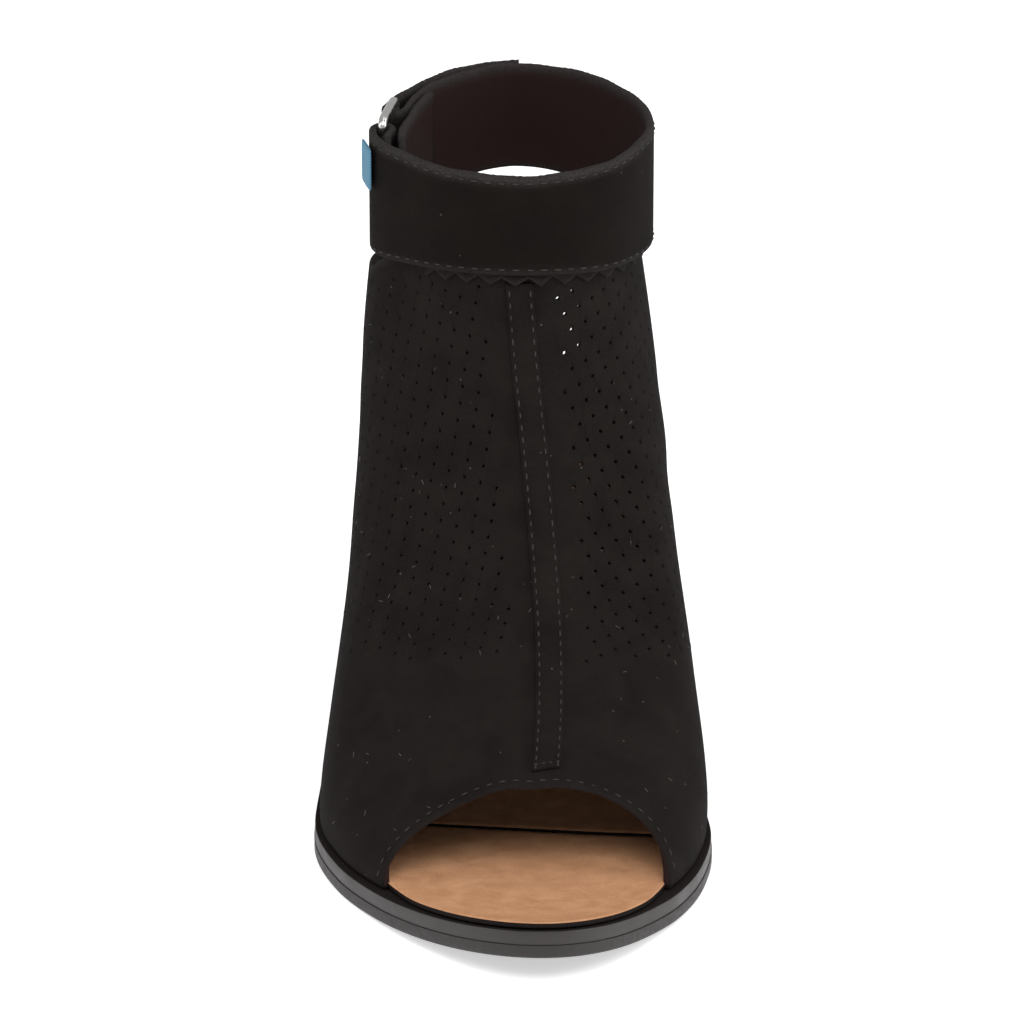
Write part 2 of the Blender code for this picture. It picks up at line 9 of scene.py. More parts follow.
import bmesh
import bpy
import numpy as np
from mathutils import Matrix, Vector


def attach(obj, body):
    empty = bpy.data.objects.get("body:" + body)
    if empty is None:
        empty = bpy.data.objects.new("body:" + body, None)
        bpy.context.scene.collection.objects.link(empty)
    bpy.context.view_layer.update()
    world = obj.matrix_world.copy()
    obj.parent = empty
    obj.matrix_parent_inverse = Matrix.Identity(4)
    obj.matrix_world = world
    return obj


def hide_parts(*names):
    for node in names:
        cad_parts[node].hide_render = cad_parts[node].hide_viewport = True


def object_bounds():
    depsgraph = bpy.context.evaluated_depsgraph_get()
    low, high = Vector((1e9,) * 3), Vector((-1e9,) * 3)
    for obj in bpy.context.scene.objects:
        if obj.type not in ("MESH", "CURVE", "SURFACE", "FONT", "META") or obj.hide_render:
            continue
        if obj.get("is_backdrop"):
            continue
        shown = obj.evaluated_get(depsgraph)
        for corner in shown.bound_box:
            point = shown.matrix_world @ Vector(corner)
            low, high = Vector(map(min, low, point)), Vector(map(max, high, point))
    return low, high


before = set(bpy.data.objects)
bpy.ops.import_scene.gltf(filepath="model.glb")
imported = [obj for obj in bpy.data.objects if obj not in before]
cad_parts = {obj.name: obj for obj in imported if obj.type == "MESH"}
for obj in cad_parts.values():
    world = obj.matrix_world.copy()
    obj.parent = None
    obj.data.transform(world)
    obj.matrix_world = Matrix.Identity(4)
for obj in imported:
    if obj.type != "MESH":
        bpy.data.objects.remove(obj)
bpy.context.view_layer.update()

# %% [markdown]
# The camera stands where the photographer stood: straight in front of the toe, about 20 degrees above it and 1.6 m
# away, with a long lens. A shoe is photographed that way so that its outline is hardly widened by perspective.

# %% Camera
camera_data = bpy.data.cameras.new("camera")
camera_data.lens = 236.25
camera_data.sensor_width = 36
camera = bpy.data.objects.new("camera", camera_data)
camera.location = (0.0001, -1.4976, 0.6035)
looks_at = Vector((0.0001, 0.0106, 0.0694))
camera.rotation_euler = (looks_at - camera.location).to_track_quat("-Z", "Y").to_euler()
bpy.context.scene.collection.objects.link(camera)
bpy.context.scene.camera = camera
print("camera at", tuple(camera.location))

# %% [markdown]
# The sizes are those of the part's source, in metres. The toe points to -Y and the inner side of the foot to +X.
# A pattern maker works the same way: a few lengths of the last, and the pieces follow from them.

# %% Sizes of the shoe
LENGTH = 0.2255
BALL_WIDTH = 0.0935
HEEL_HEIGHT = 0.042
TOE_SPRING = 0.007
ANKLE_BACK = 0.1635
GAP = 0.0003
OUTSOLE = 0.0031
MIDSOLE = 0.0033
MIDSOLE_STEP = 0.0002
EDGE_ROUND = 0.0006
LIFT_HEIGHT = 0.005
HEEL_TAPER = 0.0045
HEEL_INSET = 0.0012
HEEL_BREAST = 0.775
INSOLE = 0.0016
INSOLE_CLEARANCE = 0.0008
INSOLE_JOINT_INNER = 0.296
INSOLE_JOINT_OUTER = 0.346
INSOLE_JOINT_GAP = 0.0020
WALL = 0.0018
COLLAR_DROP = 0.006
CORNER_BACK = 0.0375
OPENING_HEIGHT = 0.393
OPENING_MIDDLE = radians(-1)
INNER_FULLNESS = 3.0
OUTER_FULLNESS = 2.35
PROFILE_LAG = radians(23)
BAND_SHARE = 0.20
CUFF_WIDTH = 0.0675
CUFF_DEPTH = 0.0770
COLLAR_WIDTH = CUFF_WIDTH - 0.0066
COLLAR_DEPTH = CUFF_DEPTH - 0.0070
CUFF_TOP = 0.152
CUFF_RISE = 0.0075
CUFF_HEIGHT = 0.0245
CUFF_DIP = 0.0045
CUFF_BACK_DIP = 0.0018
STRAP = 0.0019
WIRE = 0.0022
RING_HEADROOM = 0.0006
LAYER_GAP = 0.0004
TRIM = 0.0008
TRIM_ANGLES = (-42, 78)
TOOTH_PITCH = 0.0060
TOOTH_DEPTH = 0.0021
STRIP_WIDTH = 0.0064
STRIP = 0.0007
TAB_SIZE = (0.0011, 0.0100, 0.0100)
TAB_ANGLE = -75
TAB_BELOW_RIM = 0.0030

# %% [markdown]
# Curved lines are short tables with named columns, and `smooth` draws an even curve through them. It takes whole
# arrays of places at once, so a fine mesh costs no more lines than a coarse one.

# %% Tables
def table(columns, *rows):
    """The rows as one array for each named column."""
    return dict(zip(columns.split(), np.array(rows, float).T))


FOOTPRINT = table(
    "along centre half",
    (0.000, 0.072, 0.000),
    (0.020, 0.067, 0.118),
    (0.060, 0.058, 0.212),
    (0.110, 0.047, 0.296),
    (0.170, 0.037, 0.378),
    (0.250, 0.020, 0.457),
    (0.340, 0.005, 0.498),
    (0.440, -0.008, 0.480),
    (0.550, -0.018, 0.425),
    (0.680, -0.012, 0.372),
    (0.800, -0.004, 0.350),
    (0.910, 0.000, 0.302),
    (0.975, 0.000, 0.178),
    (1.000, 0.000, 0.000),
)
ARCH = table(
    "along lift",
    (0.36, 0.000),
    (0.41, 0.025),
    (0.49, 0.150),
    (0.60, 0.500),
    (0.70, 0.810),
    (0.78, 0.950),
    (0.88, 1.000),
    (1.00, 1.020),
)
FLAT_START = 0.235
PROFILE = table(
    "along inset rise drop low_outer low_inner high_outer high_inner",
    (0.00, 0.0040, 0.010, 0.096, 0.0000, 0.0000, 0.0000, 0.0000),
    (0.12, 0.0026, 0.014, 0.090, 0.0015, 0.0015, 0.0000, 0.0000),
    (0.25, 0.0018, 0.020, 0.080, 0.0024, 0.0020, 0.0020, 0.0020),
    (0.38, 0.0014, 0.026, 0.062, 0.0010, 0.0048, 0.0034, 0.0055),
    (0.55, 0.0016, 0.028, 0.042, 0.0008, 0.0090, 0.0040, 0.0058),
    (0.75, 0.0020, 0.026, 0.030, 0.0024, 0.0055, 0.0046, 0.0045),
    (0.90, 0.0020, 0.022, 0.026, 0.0050, 0.0050, 0.0040, 0.0020),
    (1.00, 0.0020, 0.018, 0.026, 0.0060, 0.0060, 0.0000, 0.0000),
)
INSOLE_FRONT = table("along inset", (0.000, 0.0011), (0.080, 0.0011), (0.115, 0.0016), (0.140, 0.0026), (0.170, 0.0038))
INSOLE_MEETS_UPPER = 0.20
NECK_FLARE = table("angle flare", (58, 0.0000), (76, 0.0026), (100, 0.0030), (132, 0.0000))
TOP_EDGE = table(
    "angle outer inner",
    (0, 1.200, 1.200),
    (30, 1.200, 1.200),
    (42, 1.200, 1.200),
    (48, 1.160, 1.200),
    (54, 1.070, 1.200),
    (60, 1.022, 1.200),
    (64, 1.010, 1.200),
    (68, 1.000, 1.200),
    (72, 0.990, 1.200),
    (76, 0.972, 1.200),
    (84, 0.965, 1.195),
    (98, 0.935, 1.080),
    (112, 0.840, 0.880),
    (130, 0.610, 0.610),
    (152, 0.420, 0.420),
    (180, 0.360, 0.360),
)
STRIP_LINE = table(
    "height across",
    (0.42, 0.0080),
    (0.52, 0.0088),
    (0.62, 0.0086),
    (0.72, 0.0074),
    (0.82, 0.0056),
    (0.95, 0.0026),
    (0.993, 0.0018),
)
ANKLE_SHAPE = table(
    "angle share",
    (-180, 0.960),
    (-150, 0.915),
    (-120, 0.905),
    (-98, 0.955),
    (-76, 1.034),
    (-46, 0.975),
    (-20, 0.980),
    (0, 1.000),
    (22, 1.015),
    (42, 1.025),
    (62, 1.012),
    (85, 1.014),
    (102, 0.985),
    (122, 0.950),
    (142, 0.935),
    (160, 0.940),
    (180, 0.960),
)
CUFF_LINE = table(
    "angle layers",
    (-77, 0.00),
    (90, 0.00),
    (150, 0.00),
    (165, 0.15),
    (180, 0.50),
    (200, 0.85),
    (236, 1.35),
    (253, 2.02),
)
STRAP_END_LINE = table("angle layers", (177, -0.60), (200, -0.25), (225, 0.00), (254, 0.00))
UNDERLAY_LINE = table(
    "angle layers",
    (-124, 2.45),
    (-108, 3.00),
    (-92, 3.30),
    (-80, 3.10),
    (-73, 2.85),
    (-66, 2.40),
)
REAR_BAR = 258
FRONT_BAR = -80
RETURN_END = -69


def smooth(keys, values, at):
    """A smooth curve through the values, held level past both ends."""
    keys, values, at = (np.asarray(a, float) for a in (keys, values, at))
    widths, steps = np.diff(keys), np.diff(values) / np.diff(keys)
    inner = (steps[:-1] * widths[1:] + steps[1:] * widths[:-1]) / (widths[:-1] + widths[1:])
    slopes = np.concatenate([steps[:1], inner, steps[-1:]])
    at = np.clip(at, keys[0], keys[-1])
    k = np.clip(np.searchsorted(keys, at, side="right") - 1, 0, len(keys) - 2)
    t = (at - keys[k]) / widths[k]
    return (
        (2 * t**3 - 3 * t**2 + 1) * values[k]
        + (t**3 - 2 * t**2 + t) * widths[k] * slopes[k]
        + (3 * t**2 - 2 * t**3) * values[k + 1]
        + (t**3 - t**2) * widths[k] * slopes[k + 1]
    )


print("tables:", len(FOOTPRINT["along"]), "sections of the sole outline,", len(PROFILE["along"]), "of the upper")

# %% [markdown]
# ## The last
# Everything hangs on two outlines: the sole's edge and the ankle's. A *turn* goes round the sole from the toe (0)
# over the inner side to the heel (pi) and back along the outer side. An *angle* goes round the ankle from the front.

# %% Sole outline and heights
TOE = -LENGTH / 2
ANKLE = TOE + ANKLE_BACK


def turn_of(along):
    return np.arccos(1 - 2 * np.asarray(along, float))


def mirrored(values, sign):
    """The values with two more at each end, so that a curve through them rounds the toe and the heel."""
    return np.concatenate([sign * values[2:0:-1], values, sign * values[-2:-4:-1]])


TURNS = turn_of(FOOTPRINT["along"])
OUTLINE_TURNS = np.concatenate([-TURNS[2:0:-1], TURNS, 2 * pi - TURNS[-2:-4:-1]])
OUTLINE_HALF = mirrored(FOOTPRINT["half"], -1)
OUTLINE_CENTRE = mirrored(FOOTPRINT["centre"], 1)
PROFILE_TURNS = turn_of(PROFILE["along"])


def unit(vectors):
    return vectors / np.maximum(np.linalg.norm(vectors, axis=-1, keepdims=True), 1e-12)


def stacked(*columns):
    return np.stack(np.broadcast_arrays(*columns), axis=-1)


def on_outline(turn):
    turn = np.asarray(turn, float) % (2 * pi)
    side = np.where(turn <= pi, 1, -1)
    from_toe = np.minimum(turn, 2 * pi - turn)
    centre = smooth(OUTLINE_TURNS, OUTLINE_CENTRE, from_toe)
    half = smooth(OUTLINE_TURNS, OUTLINE_HALF, from_toe)
    return stacked(BALL_WIDTH * (centre + side * half), TOE + LENGTH * (1 - np.cos(from_toe)) / 2)


def outward(turn):
    step = on_outline(turn + 0.001) - on_outline(turn - 0.001)
    return unit(stacked(step[..., 1], -step[..., 0]))


def inside_outline(turn, inset):
    return on_outline(turn) - outward(turn) * np.asarray(inset, float)[..., None]


def underside(y):
    along = (y - TOE) / LENGTH
    toe = TOE_SPRING * (np.maximum(FLAT_START - along, 0) / FLAT_START) ** 2
    return toe + np.where(along < FLAT_START, 0, HEEL_HEIGHT * smooth(ARCH["along"], ARCH["lift"], along))


def midsole_top(y):
    return underside(y) + OUTSOLE + GAP + MIDSOLE


front_of_flat = TOE + LENGTH * FLAT_START
print("ball at", round(float(on_outline(1.25)[0]), 4), "underside at the flat spot", float(underside(front_of_flat)))

# %% Ankle outline
def cuff_top(y):
    return CUFF_TOP + CUFF_RISE * (0.5 + (y - ANKLE) / CUFF_DEPTH)


def cuff_bottom(x, y):
    side = np.minimum(np.abs(x) / (CUFF_WIDTH / 2), 1)
    back = 0.5 + (y - ANKLE) / CUFF_DEPTH
    return cuff_top(y) - CUFF_HEIGHT - CUFF_DIP * side**2 - CUFF_BACK_DIP * back


def round_ankle(width, depth, angle, inward=0.0):
    """Points on the outline round the ankle, and their outward directions. Angle 0 is the front."""

    def point(at):
        share = smooth(ANKLE_SHAPE["angle"], ANKLE_SHAPE["share"], (np.degrees(at) + 180) % 360 - 180)
        return stacked(width / 2 * np.sin(at) * share, ANKLE - depth / 2 * np.cos(at) * share)

    step = point(angle + 0.02) - point(angle - 0.02)
    direction = unit(stacked(step[..., 1], -step[..., 0]))
    return point(angle) - direction * np.asarray(inward, float)[..., None], direction


# %% [markdown]
# The upper's surface is a family of curves that rise from the sole's edge to the ankle. Each one is a Bezier curve
# with four points: foot, a point that swells the side, a point below the cuff, and the neck. `on_upper` gives any
# place on that surface by turn and height share, and can move it out along the surface's normal.

# %% The upper's surface
def upper_base(turn, height):
    turn, height = np.broadcast_arrays(np.asarray(turn, float) % (2 * pi), np.asarray(height, float))
    from_toe = np.minimum(turn, 2 * pi - turn)
    inner = 0.5 + 0.5 * np.sin(turn)

    def row(column):
        return smooth(PROFILE_TURNS, PROFILE[column], from_toe)

    def either(level):
        return row(f"{level}_outer") + (row(f"{level}_inner") - row(f"{level}_outer")) * inner

    foot = inside_outline(turn, row("inset"))
    foot_z = midsole_top(foot[..., 1]) + GAP
    angle = turn - PROFILE_LAG * np.sin(turn)
    flare = np.where(turn > pi, smooth(NECK_FLARE["angle"], NECK_FLARE["flare"], 360 - np.degrees(angle)), 0)
    neck, neck_out = round_ankle(COLLAR_WIDTH, COLLAR_DEPTH, angle, -flare)
    neck_z = cuff_bottom(neck[..., 0], neck[..., 1]) - TRIM
    lower = foot + outward(turn) * either("low")[..., None]
    upper = neck + neck_out * either("high")[..., None]
    guides = (
        (1, stacked(foot[..., 0], foot[..., 1], foot_z)),
        (3, stacked(lower[..., 0], lower[..., 1], foot_z + row("rise"))),
        (3, stacked(upper[..., 0], upper[..., 1], neck_z - row("drop"))),
        (1, stacked(neck[..., 0], neck[..., 1], neck_z)),
    )
    t = np.minimum(height, 1)[..., None]
    curve = sum(weight * t**k * (1 - t) ** (3 - k) * point for k, (weight, point) in enumerate(guides))
    band = (cuff_top(neck[..., 1]) - COLLAR_DROP - neck_z) * np.maximum(height - 1, 0) / BAND_SHARE
    return curve + stacked(0 * band, 0 * band, band)


def upper_normal(turn, height):
    low, high = np.maximum(height - 0.01, 0), np.minimum(height + 0.01, 1 + BAND_SHARE)
    across = upper_base(turn + 0.01, height) - upper_base(turn - 0.01, height)
    return unit(np.cross(across, upper_base(turn, high) - upper_base(turn, low)))


def on_upper(turn, height, out=0.0):
    return upper_base(turn, height) + upper_normal(turn, height) * np.asarray(out, float)[..., None]


def turn_at_angle(angle):
    """The turns whose lines reach the cuff at these angles."""
    angle = np.asarray(angle, float)
    turn = angle.copy()
    for _ in range(30):
        turn = angle + PROFILE_LAG * np.sin(turn)
    return turn


def turn_at_width(height, x):
    """The turns near the toe where the upper is this far to the side."""
    height, x = np.broadcast_arrays(np.asarray(height, float), np.asarray(x, float))
    low, high = -np.ones(x.shape), np.ones(x.shape)
    for _ in range(40):
        middle = (low + high) / 2
        short = upper_base(middle, height)[..., 0] < x
        low, high = np.where(short, middle, low), np.where(short, high, middle)
    return (low + high) / 2


def share_per_metre(turn, height):
    """How much height share one metre along the upper's line is, near this height."""
    return 0.02 / np.linalg.norm(upper_base(turn, height + 0.01) - upper_base(turn, height - 0.01), axis=-1)


def opening_edge(turn):
    """Height share of the upper's lower edge, which arches over the toes."""
    corner = turn_of(CORNER_BACK / LENGTH)
    from_front = (np.asarray(turn, float) + pi) % (2 * pi) - pi
    inner = from_front > OPENING_MIDDLE
    reach = np.where(inner, corner - OPENING_MIDDLE, corner + OPENING_MIDDLE)
    fullness = np.where(inner, INNER_FULLNESS, OUTER_FULLNESS)
    share = np.minimum(np.abs(from_front - OPENING_MIDDLE) / reach, 1)
    return OPENING_HEIGHT * (1 - share**fullness) ** (1 / fullness)


def top_edge(turn):
    """Height share of the upper's top edge: under the cuff in front, low on the heel counter."""
    turn = np.asarray(turn, float) % (2 * pi)
    angle = np.degrees(turn - PROFILE_LAG * np.sin(turn))
    inner = smooth(TOP_EDGE["angle"], TOP_EDGE["inner"], np.minimum(angle, 360 - angle))
    outer = smooth(TOP_EDGE["angle"], TOP_EDGE["outer"], np.minimum(angle, 360 - angle))
    return np.where(angle <= 180, inner, outer)


print("front of the neck at", upper_base(0.0, 1.0).round(4), "counter top at", on_upper(pi, top_edge(pi)).round(4))

# %% [markdown]
# ## Meshes from grids
# Most pieces are a loop that is carried along a path, so one helper turns a grid of points into a closed mesh.
# It can also keep named values at each point, such as how close it is to a cut edge: the materials read them.

# %% Grid helper
def tidy_mesh(data):
    """Merges doubles and points every face outwards."""
    mesh = bmesh.new()
    mesh.from_mesh(data)
    bmesh.ops.remove_doubles(mesh, verts=mesh.verts, dist=1e-6)
    bmesh.ops.dissolve_degenerate(mesh, edges=mesh.edges, dist=1e-7)
    bmesh.ops.recalc_face_normals(mesh, faces=mesh.faces)
    if mesh.calc_volume(signed=True) < 0:
        bmesh.ops.reverse_faces(mesh, faces=mesh.faces)
    mesh.to_mesh(data)
    mesh.free()
    data.polygons.foreach_set("use_smooth", [True] * len(data.polygons))


def grid_piece(name, points, closed=False, open_sheet=False, caps=(True, True), **values):
    """A closed piece through loops of points, joined end to end if closed, or else capped at its ends."""
    loops, size = points.shape[:2]
    index = np.arange(loops * size).reshape(loops, size)
    rows = np.vstack([index, index[:1]]) if closed else index
    rows = rows if open_sheet else np.hstack([rows, rows[:, :1]])
    faces = np.stack([rows[:-1, :-1], rows[:-1, 1:], rows[1:, 1:], rows[1:, :-1]], -1).reshape(-1, 4).tolist()
    if not closed and not open_sheet:
        ends = (index[0][::-1].tolist(), index[-1].tolist())
        faces += [face for face, wanted in zip(ends, caps) if wanted]
    data = bpy.data.meshes.new(name)
    data.from_pydata(points.reshape(-1, 3).tolist(), [], faces)
    for label, value in values.items():
        full = np.broadcast_to(value, (loops, size)).astype(np.float32).ravel()
        data.attributes.new(label, "FLOAT", "POINT").data.foreach_set("value", full)
    tidy_mesh(data)
    made = bpy.data.objects.new(name, data)
    bpy.context.scene.collection.objects.link(made)
    return made


def shown(piece, material, slot, *stands_for):
    """Gives a finished piece its material and its place in the shoe."""
    if material is not None:
        piece.data.materials.clear()
        piece.data.materials.append(material)
    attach(piece, "root")
    if stands_for:
        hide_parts(*stands_for)
    piece.data.calc_loop_triangles()
    print(f"{piece.name}: {len(piece.data.loop_triangles)} triangles")
    return piece


# %% [markdown]
# ## Node helpers
# Geometry Nodes and shader nodes are both written with one small helper. It makes a node, sets its options, and
# either links each input or types its value.

# %% Node helpers
def node(tree, kind, inputs=None, **options):
    made = tree.nodes.new(kind)
    for name, value in options.items():
        setattr(made, name, value)
    for name, value in (inputs or {}).items():
        if isinstance(value, bpy.types.NodeSocket):
            tree.links.new(value, made.inputs[name])
        else:
            made.inputs[name].default_value = value
    return made


def new_tree(name, kind, inputs, outputs):
    """A node group with named inputs and outputs: (label, socket type, starting value)."""
    tree = bpy.data.node_groups.new(name, kind)
    for label, socket, *start in inputs:
        made = tree.interface.new_socket(label, in_out="INPUT", socket_type=f"NodeSocket{socket}")
        if start:
            made.default_value = start[0]
    for label, socket in outputs:
        tree.interface.new_socket(label, in_out="OUTPUT", socket_type=f"NodeSocket{socket}")
    return tree, tree.nodes.new("NodeGroupInput").outputs, tree.nodes.new("NodeGroupOutput").inputs


def made_by_nodes(name, start, tree, **values):
    """Runs a Geometry Nodes tree on an object and returns what it makes as a plain mesh piece."""
    modifier = start.modifiers.new(tree.name, "NODES")
    modifier.node_group = tree
    for item in tree.interface.items_tree:
        label = item.name.lower().replace(" ", "_")
        if item.item_type == "SOCKET" and item.in_out == "INPUT" and label in values:
            modifier[item.identifier] = values[label]
    graph = bpy.context.evaluated_depsgraph_get()
    mesh = bpy.data.meshes.new_from_object(start.evaluated_get(graph), preserve_all_data_layers=True, depsgraph=graph)
    start.modifiers.remove(modifier)
    bpy.data.objects.remove(start)
    mesh.name = name
    made = bpy.data.objects.new(name, mesh)
    bpy.context.scene.collection.objects.link(made)
    return made


# %% [markdown]
# ## Finishes
# Three effects come back in several materials, so each is a shader group: the nap of suede, the fuzz of a cut or
# folded edge, and lint that a dark nap holds. A group gives only masks and heights. The shader stays in the material.

# %% Shared effects
NAP, place, out = new_tree(
    "suede nap",
    "ShaderNodeTree",
    [("Place", "Vector"), ("Fibre Scale", "Float", 2600.0), ("Brushing Scale", "Float", 90.0)],
    [("Height", "Float"), ("Tone", "Float")],
)
fibres = node(
    NAP, "ShaderNodeTexNoise", {"Vector": place["Place"], "Scale": place["Fibre Scale"], "Detail": 4.0, "Roughness": 0.65}
)
clumps = node(
    NAP, "ShaderNodeTexNoise", {"Vector": place["Place"], "Scale": place["Brushing Scale"], "Detail": 3.0, "Distortion": 0.6}
)
both = node(NAP, "ShaderNodeMath", {0: fibres.outputs["Fac"], 1: clumps.outputs["Fac"]}, operation="ADD")
half = node(NAP, "ShaderNodeMath", {0: both.outputs[0], 1: 0.5}, operation="MULTIPLY")
tone = node(NAP, "ShaderNodeMapRange", {"Value": half.outputs[0], "From Min": 0.34, "From Max": 0.66})
NAP.links.new(fibres.outputs["Fac"], out["Height"])
NAP.links.new(tone.outputs["Result"], out["Tone"])

FUZZ, edge, out = new_tree(
    "edge fuzz",
    "ShaderNodeTree",
    [("Place", "Vector"), ("Edge", "Float", 0.0), ("Fibre Scale", "Float", 1800.0)],
    [("Amount", "Float")],
)
broken = node(FUZZ, "ShaderNodeTexNoise", {"Vector": edge["Place"], "Scale": edge["Fibre Scale"], "Detail": 2.0})
spread = node(
    FUZZ, "ShaderNodeMapRange", {"Value": broken.outputs["Fac"], "From Min": 0.3, "From Max": 0.7, "To Min": 0.45, "To Max": 1.25}
)
amount = node(FUZZ, "ShaderNodeMath", {0: spread.outputs["Result"], 1: edge["Edge"]}, operation="MULTIPLY", use_clamp=True)
FUZZ.links.new(amount.outputs[0], out["Amount"])

LINT, place, out = new_tree(
    "lint",
    "ShaderNodeTree",
    [("Place", "Vector"), ("Speck Scale", "Float", 420.0), ("Rarity", "Float", 0.90)],
    [("Mask", "Float")],
)
specks = node(LINT, "ShaderNodeTexVoronoi", {"Vector": place["Place"], "Scale": place["Speck Scale"], "Randomness": 1.0})
dots = node(LINT, "ShaderNodeMath", {0: specks.outputs["Distance"], 1: 0.10}, operation="LESS_THAN")
kept = node(LINT, "ShaderNodeSeparateColor", {"Color": specks.outputs["Color"]})
rare = node(LINT, "ShaderNodeMath", {0: kept.outputs[0], 1: place["Rarity"]}, operation="GREATER_THAN")
mask = node(LINT, "ShaderNodeMath", {0: dots.outputs[0], 1: rare.outputs[0]}, operation="MULTIPLY")
LINT.links.new(mask.outputs[0], out["Mask"])
print("shader groups:", NAP.name, FUZZ.name, LINT.name)

# %% [markdown]
# Suede is leather with its fibres raised. It has no shine of its own: it is rough, a little lighter where the fibres
# lie away from the eye (sheen) and at cut edges, and mottled where a hand has brushed it. The same function makes
# the black suede of the upper and the tan suede of the insole, with their own colours.

# %% Suede
def srgb(red, green, blue):
    """A colour as a picture program shows it, 0 to 255, turned into the light values that Blender uses."""
    values = [v / 255 for v in (red, green, blue)]
    return tuple(v / 12.92 if v <= 0.04045 else ((v + 0.055) / 1.055) ** 2.4 for v in values) + (1.0,)


def new_material(name):
    made = bpy.data.materials.new(name)
    made.use_nodes = True
    tree = made.node_tree
    return made, tree, tree.nodes["Principled BSDF"], node(tree, "ShaderNodeTexCoord").outputs["Object"]


def mixed(tree, factor, first, second):
    return node(tree, "ShaderNodeMix", {0: factor, 6: first, 7: second}, data_type="RGBA").outputs[2]


def attribute(tree, name):
    return node(tree, "ShaderNodeAttribute", attribute_name=name).outputs["Fac"]


def group(tree, which, inputs):
    made = tree.nodes.new("ShaderNodeGroup")
    made.node_tree = which
    for name, value in inputs.items():
        if isinstance(value, bpy.types.NodeSocket):
            tree.links.new(value, made.inputs[name])
        else:
            made.inputs[name].default_value = value
    return made.outputs


def bumped(tree, shader, height, distance, strength=1.0):
    bump = node(tree, "ShaderNodeBump", {"Height": height, "Distance": distance, "Strength": strength})
    tree.links.new(bump.outputs["Normal"], shader.inputs["Normal"])


def suede(name, dark, light, fuzz, sheen, lining=None, nap_scale=2600.0, brushing=90.0, nap_depth=0.00025):
    made, tree, shader, where = new_material(name)
    nap = group(tree, NAP, {"Place": where, "Fibre Scale": nap_scale, "Brushing Scale": brushing})
    edge_fuzz = group(tree, FUZZ, {"Place": where, "Edge": attribute(tree, "rim")})
    lint = group(tree, LINT, {"Place": where})
    colour = mixed(tree, nap["Tone"], dark, light)
    faint = node(tree, "ShaderNodeMath", {0: lint["Mask"], 1: 0.3}, operation="MULTIPLY").outputs[0]
    colour = mixed(tree, faint, colour, srgb(120, 116, 112))
    if lining:
        colour = mixed(tree, attribute(tree, "inside"), colour, lining)
    colour = mixed(tree, edge_fuzz["Amount"], colour, fuzz)
    tree.links.new(colour, shader.inputs["Base Color"])
    shader.inputs["Roughness"].default_value = 1.0
    shader.inputs["Specular IOR Level"].default_value = 0.12
    shader.inputs["Sheen Weight"].default_value = sheen
    shader.inputs["Sheen Roughness"].default_value = 0.45
    shader.inputs["Sheen Tint"].default_value = light
    bumped(tree, shader, nap["Height"], nap_depth)
    return made


BLACK_SUEDE = suede(
    "black suede", srgb(18, 14, 13), srgb(30, 26, 24), srgb(46, 43, 42), 0.04, lining=srgb(42, 28, 27)
)
CUFF_SUEDE = suede(
    "black suede of the cuff", srgb(12, 8, 7), srgb(23, 18, 15), srgb(50, 47, 46), 0.05, lining=srgb(42, 28, 27),
    nap_scale=3000.0, brushing=60.0,
)
TAN_SUEDE = suede(
    "tan suede", srgb(174, 124, 88), srgb(203, 153, 115), srgb(206, 164, 128), 0.04, nap_scale=2200.0, brushing=170.0
)
print("suede finishes:", BLACK_SUEDE.name, TAN_SUEDE.name)

# %% [markdown]
# The rest of the finishes: waxed thread, the raw edge inside a pinhole, dark rubber with a faint shine, a rougher
# outsole, polished metal and a plain woven cloth. Rubber and metal pick up wear as small changes of roughness.

# %% Thread, rubber, metal and cloth
def simple(name, dark, light, scale, roughness, distance=0.0001, metallic=0.0, specular=0.5):
    """A material with two tones and a matching bump, for small or plain pieces."""
    made, tree, shader, where = new_material(name)
    noise = node(tree, "ShaderNodeTexNoise", {"Vector": where, "Scale": scale, "Detail": 3.0})
    tree.links.new(mixed(tree, noise.outputs["Fac"], dark, light), shader.inputs["Base Color"])
    low, high = roughness
    worn = node(tree, "ShaderNodeMapRange", {"Value": noise.outputs["Fac"], "From Min": 0.3, "From Max": 0.7, "To Min": low, "To Max": high})
    tree.links.new(worn.outputs["Result"], shader.inputs["Roughness"])
    shader.inputs["Metallic"].default_value = metallic
    shader.inputs["Specular IOR Level"].default_value = specular
    bumped(tree, shader, noise.outputs["Fac"], distance)
    return made


THREAD = simple("thread", srgb(34, 32, 32), srgb(60, 58, 58), 6000.0, (0.6, 0.8), specular=0.2)
RAW_EDGE = simple("raw edge in a pinhole", srgb(24, 21, 20), srgb(44, 41, 40), 5000.0, (0.9, 1.0), specular=0.1)
OUTSOLE_RUBBER = simple("outsole rubber", srgb(24, 19, 18), srgb(37, 31, 30), 900.0, (0.48, 0.66), 0.00004)
# Near-black finish for the midsole's top and the insole's edges: dark board, and painted shade where it shows in the
# insole joint.
DARK_EDGE_AND_GAP_SHADE = simple("feather line", srgb(13, 11, 11), srgb(40, 35, 33), 1600.0, (0.9, 1.0), 0.0002, specular=0.05)
METAL = simple("silver metal", srgb(196, 194, 192), srgb(222, 221, 219), 700.0, (0.16, 0.32), 0.00001, metallic=1.0)


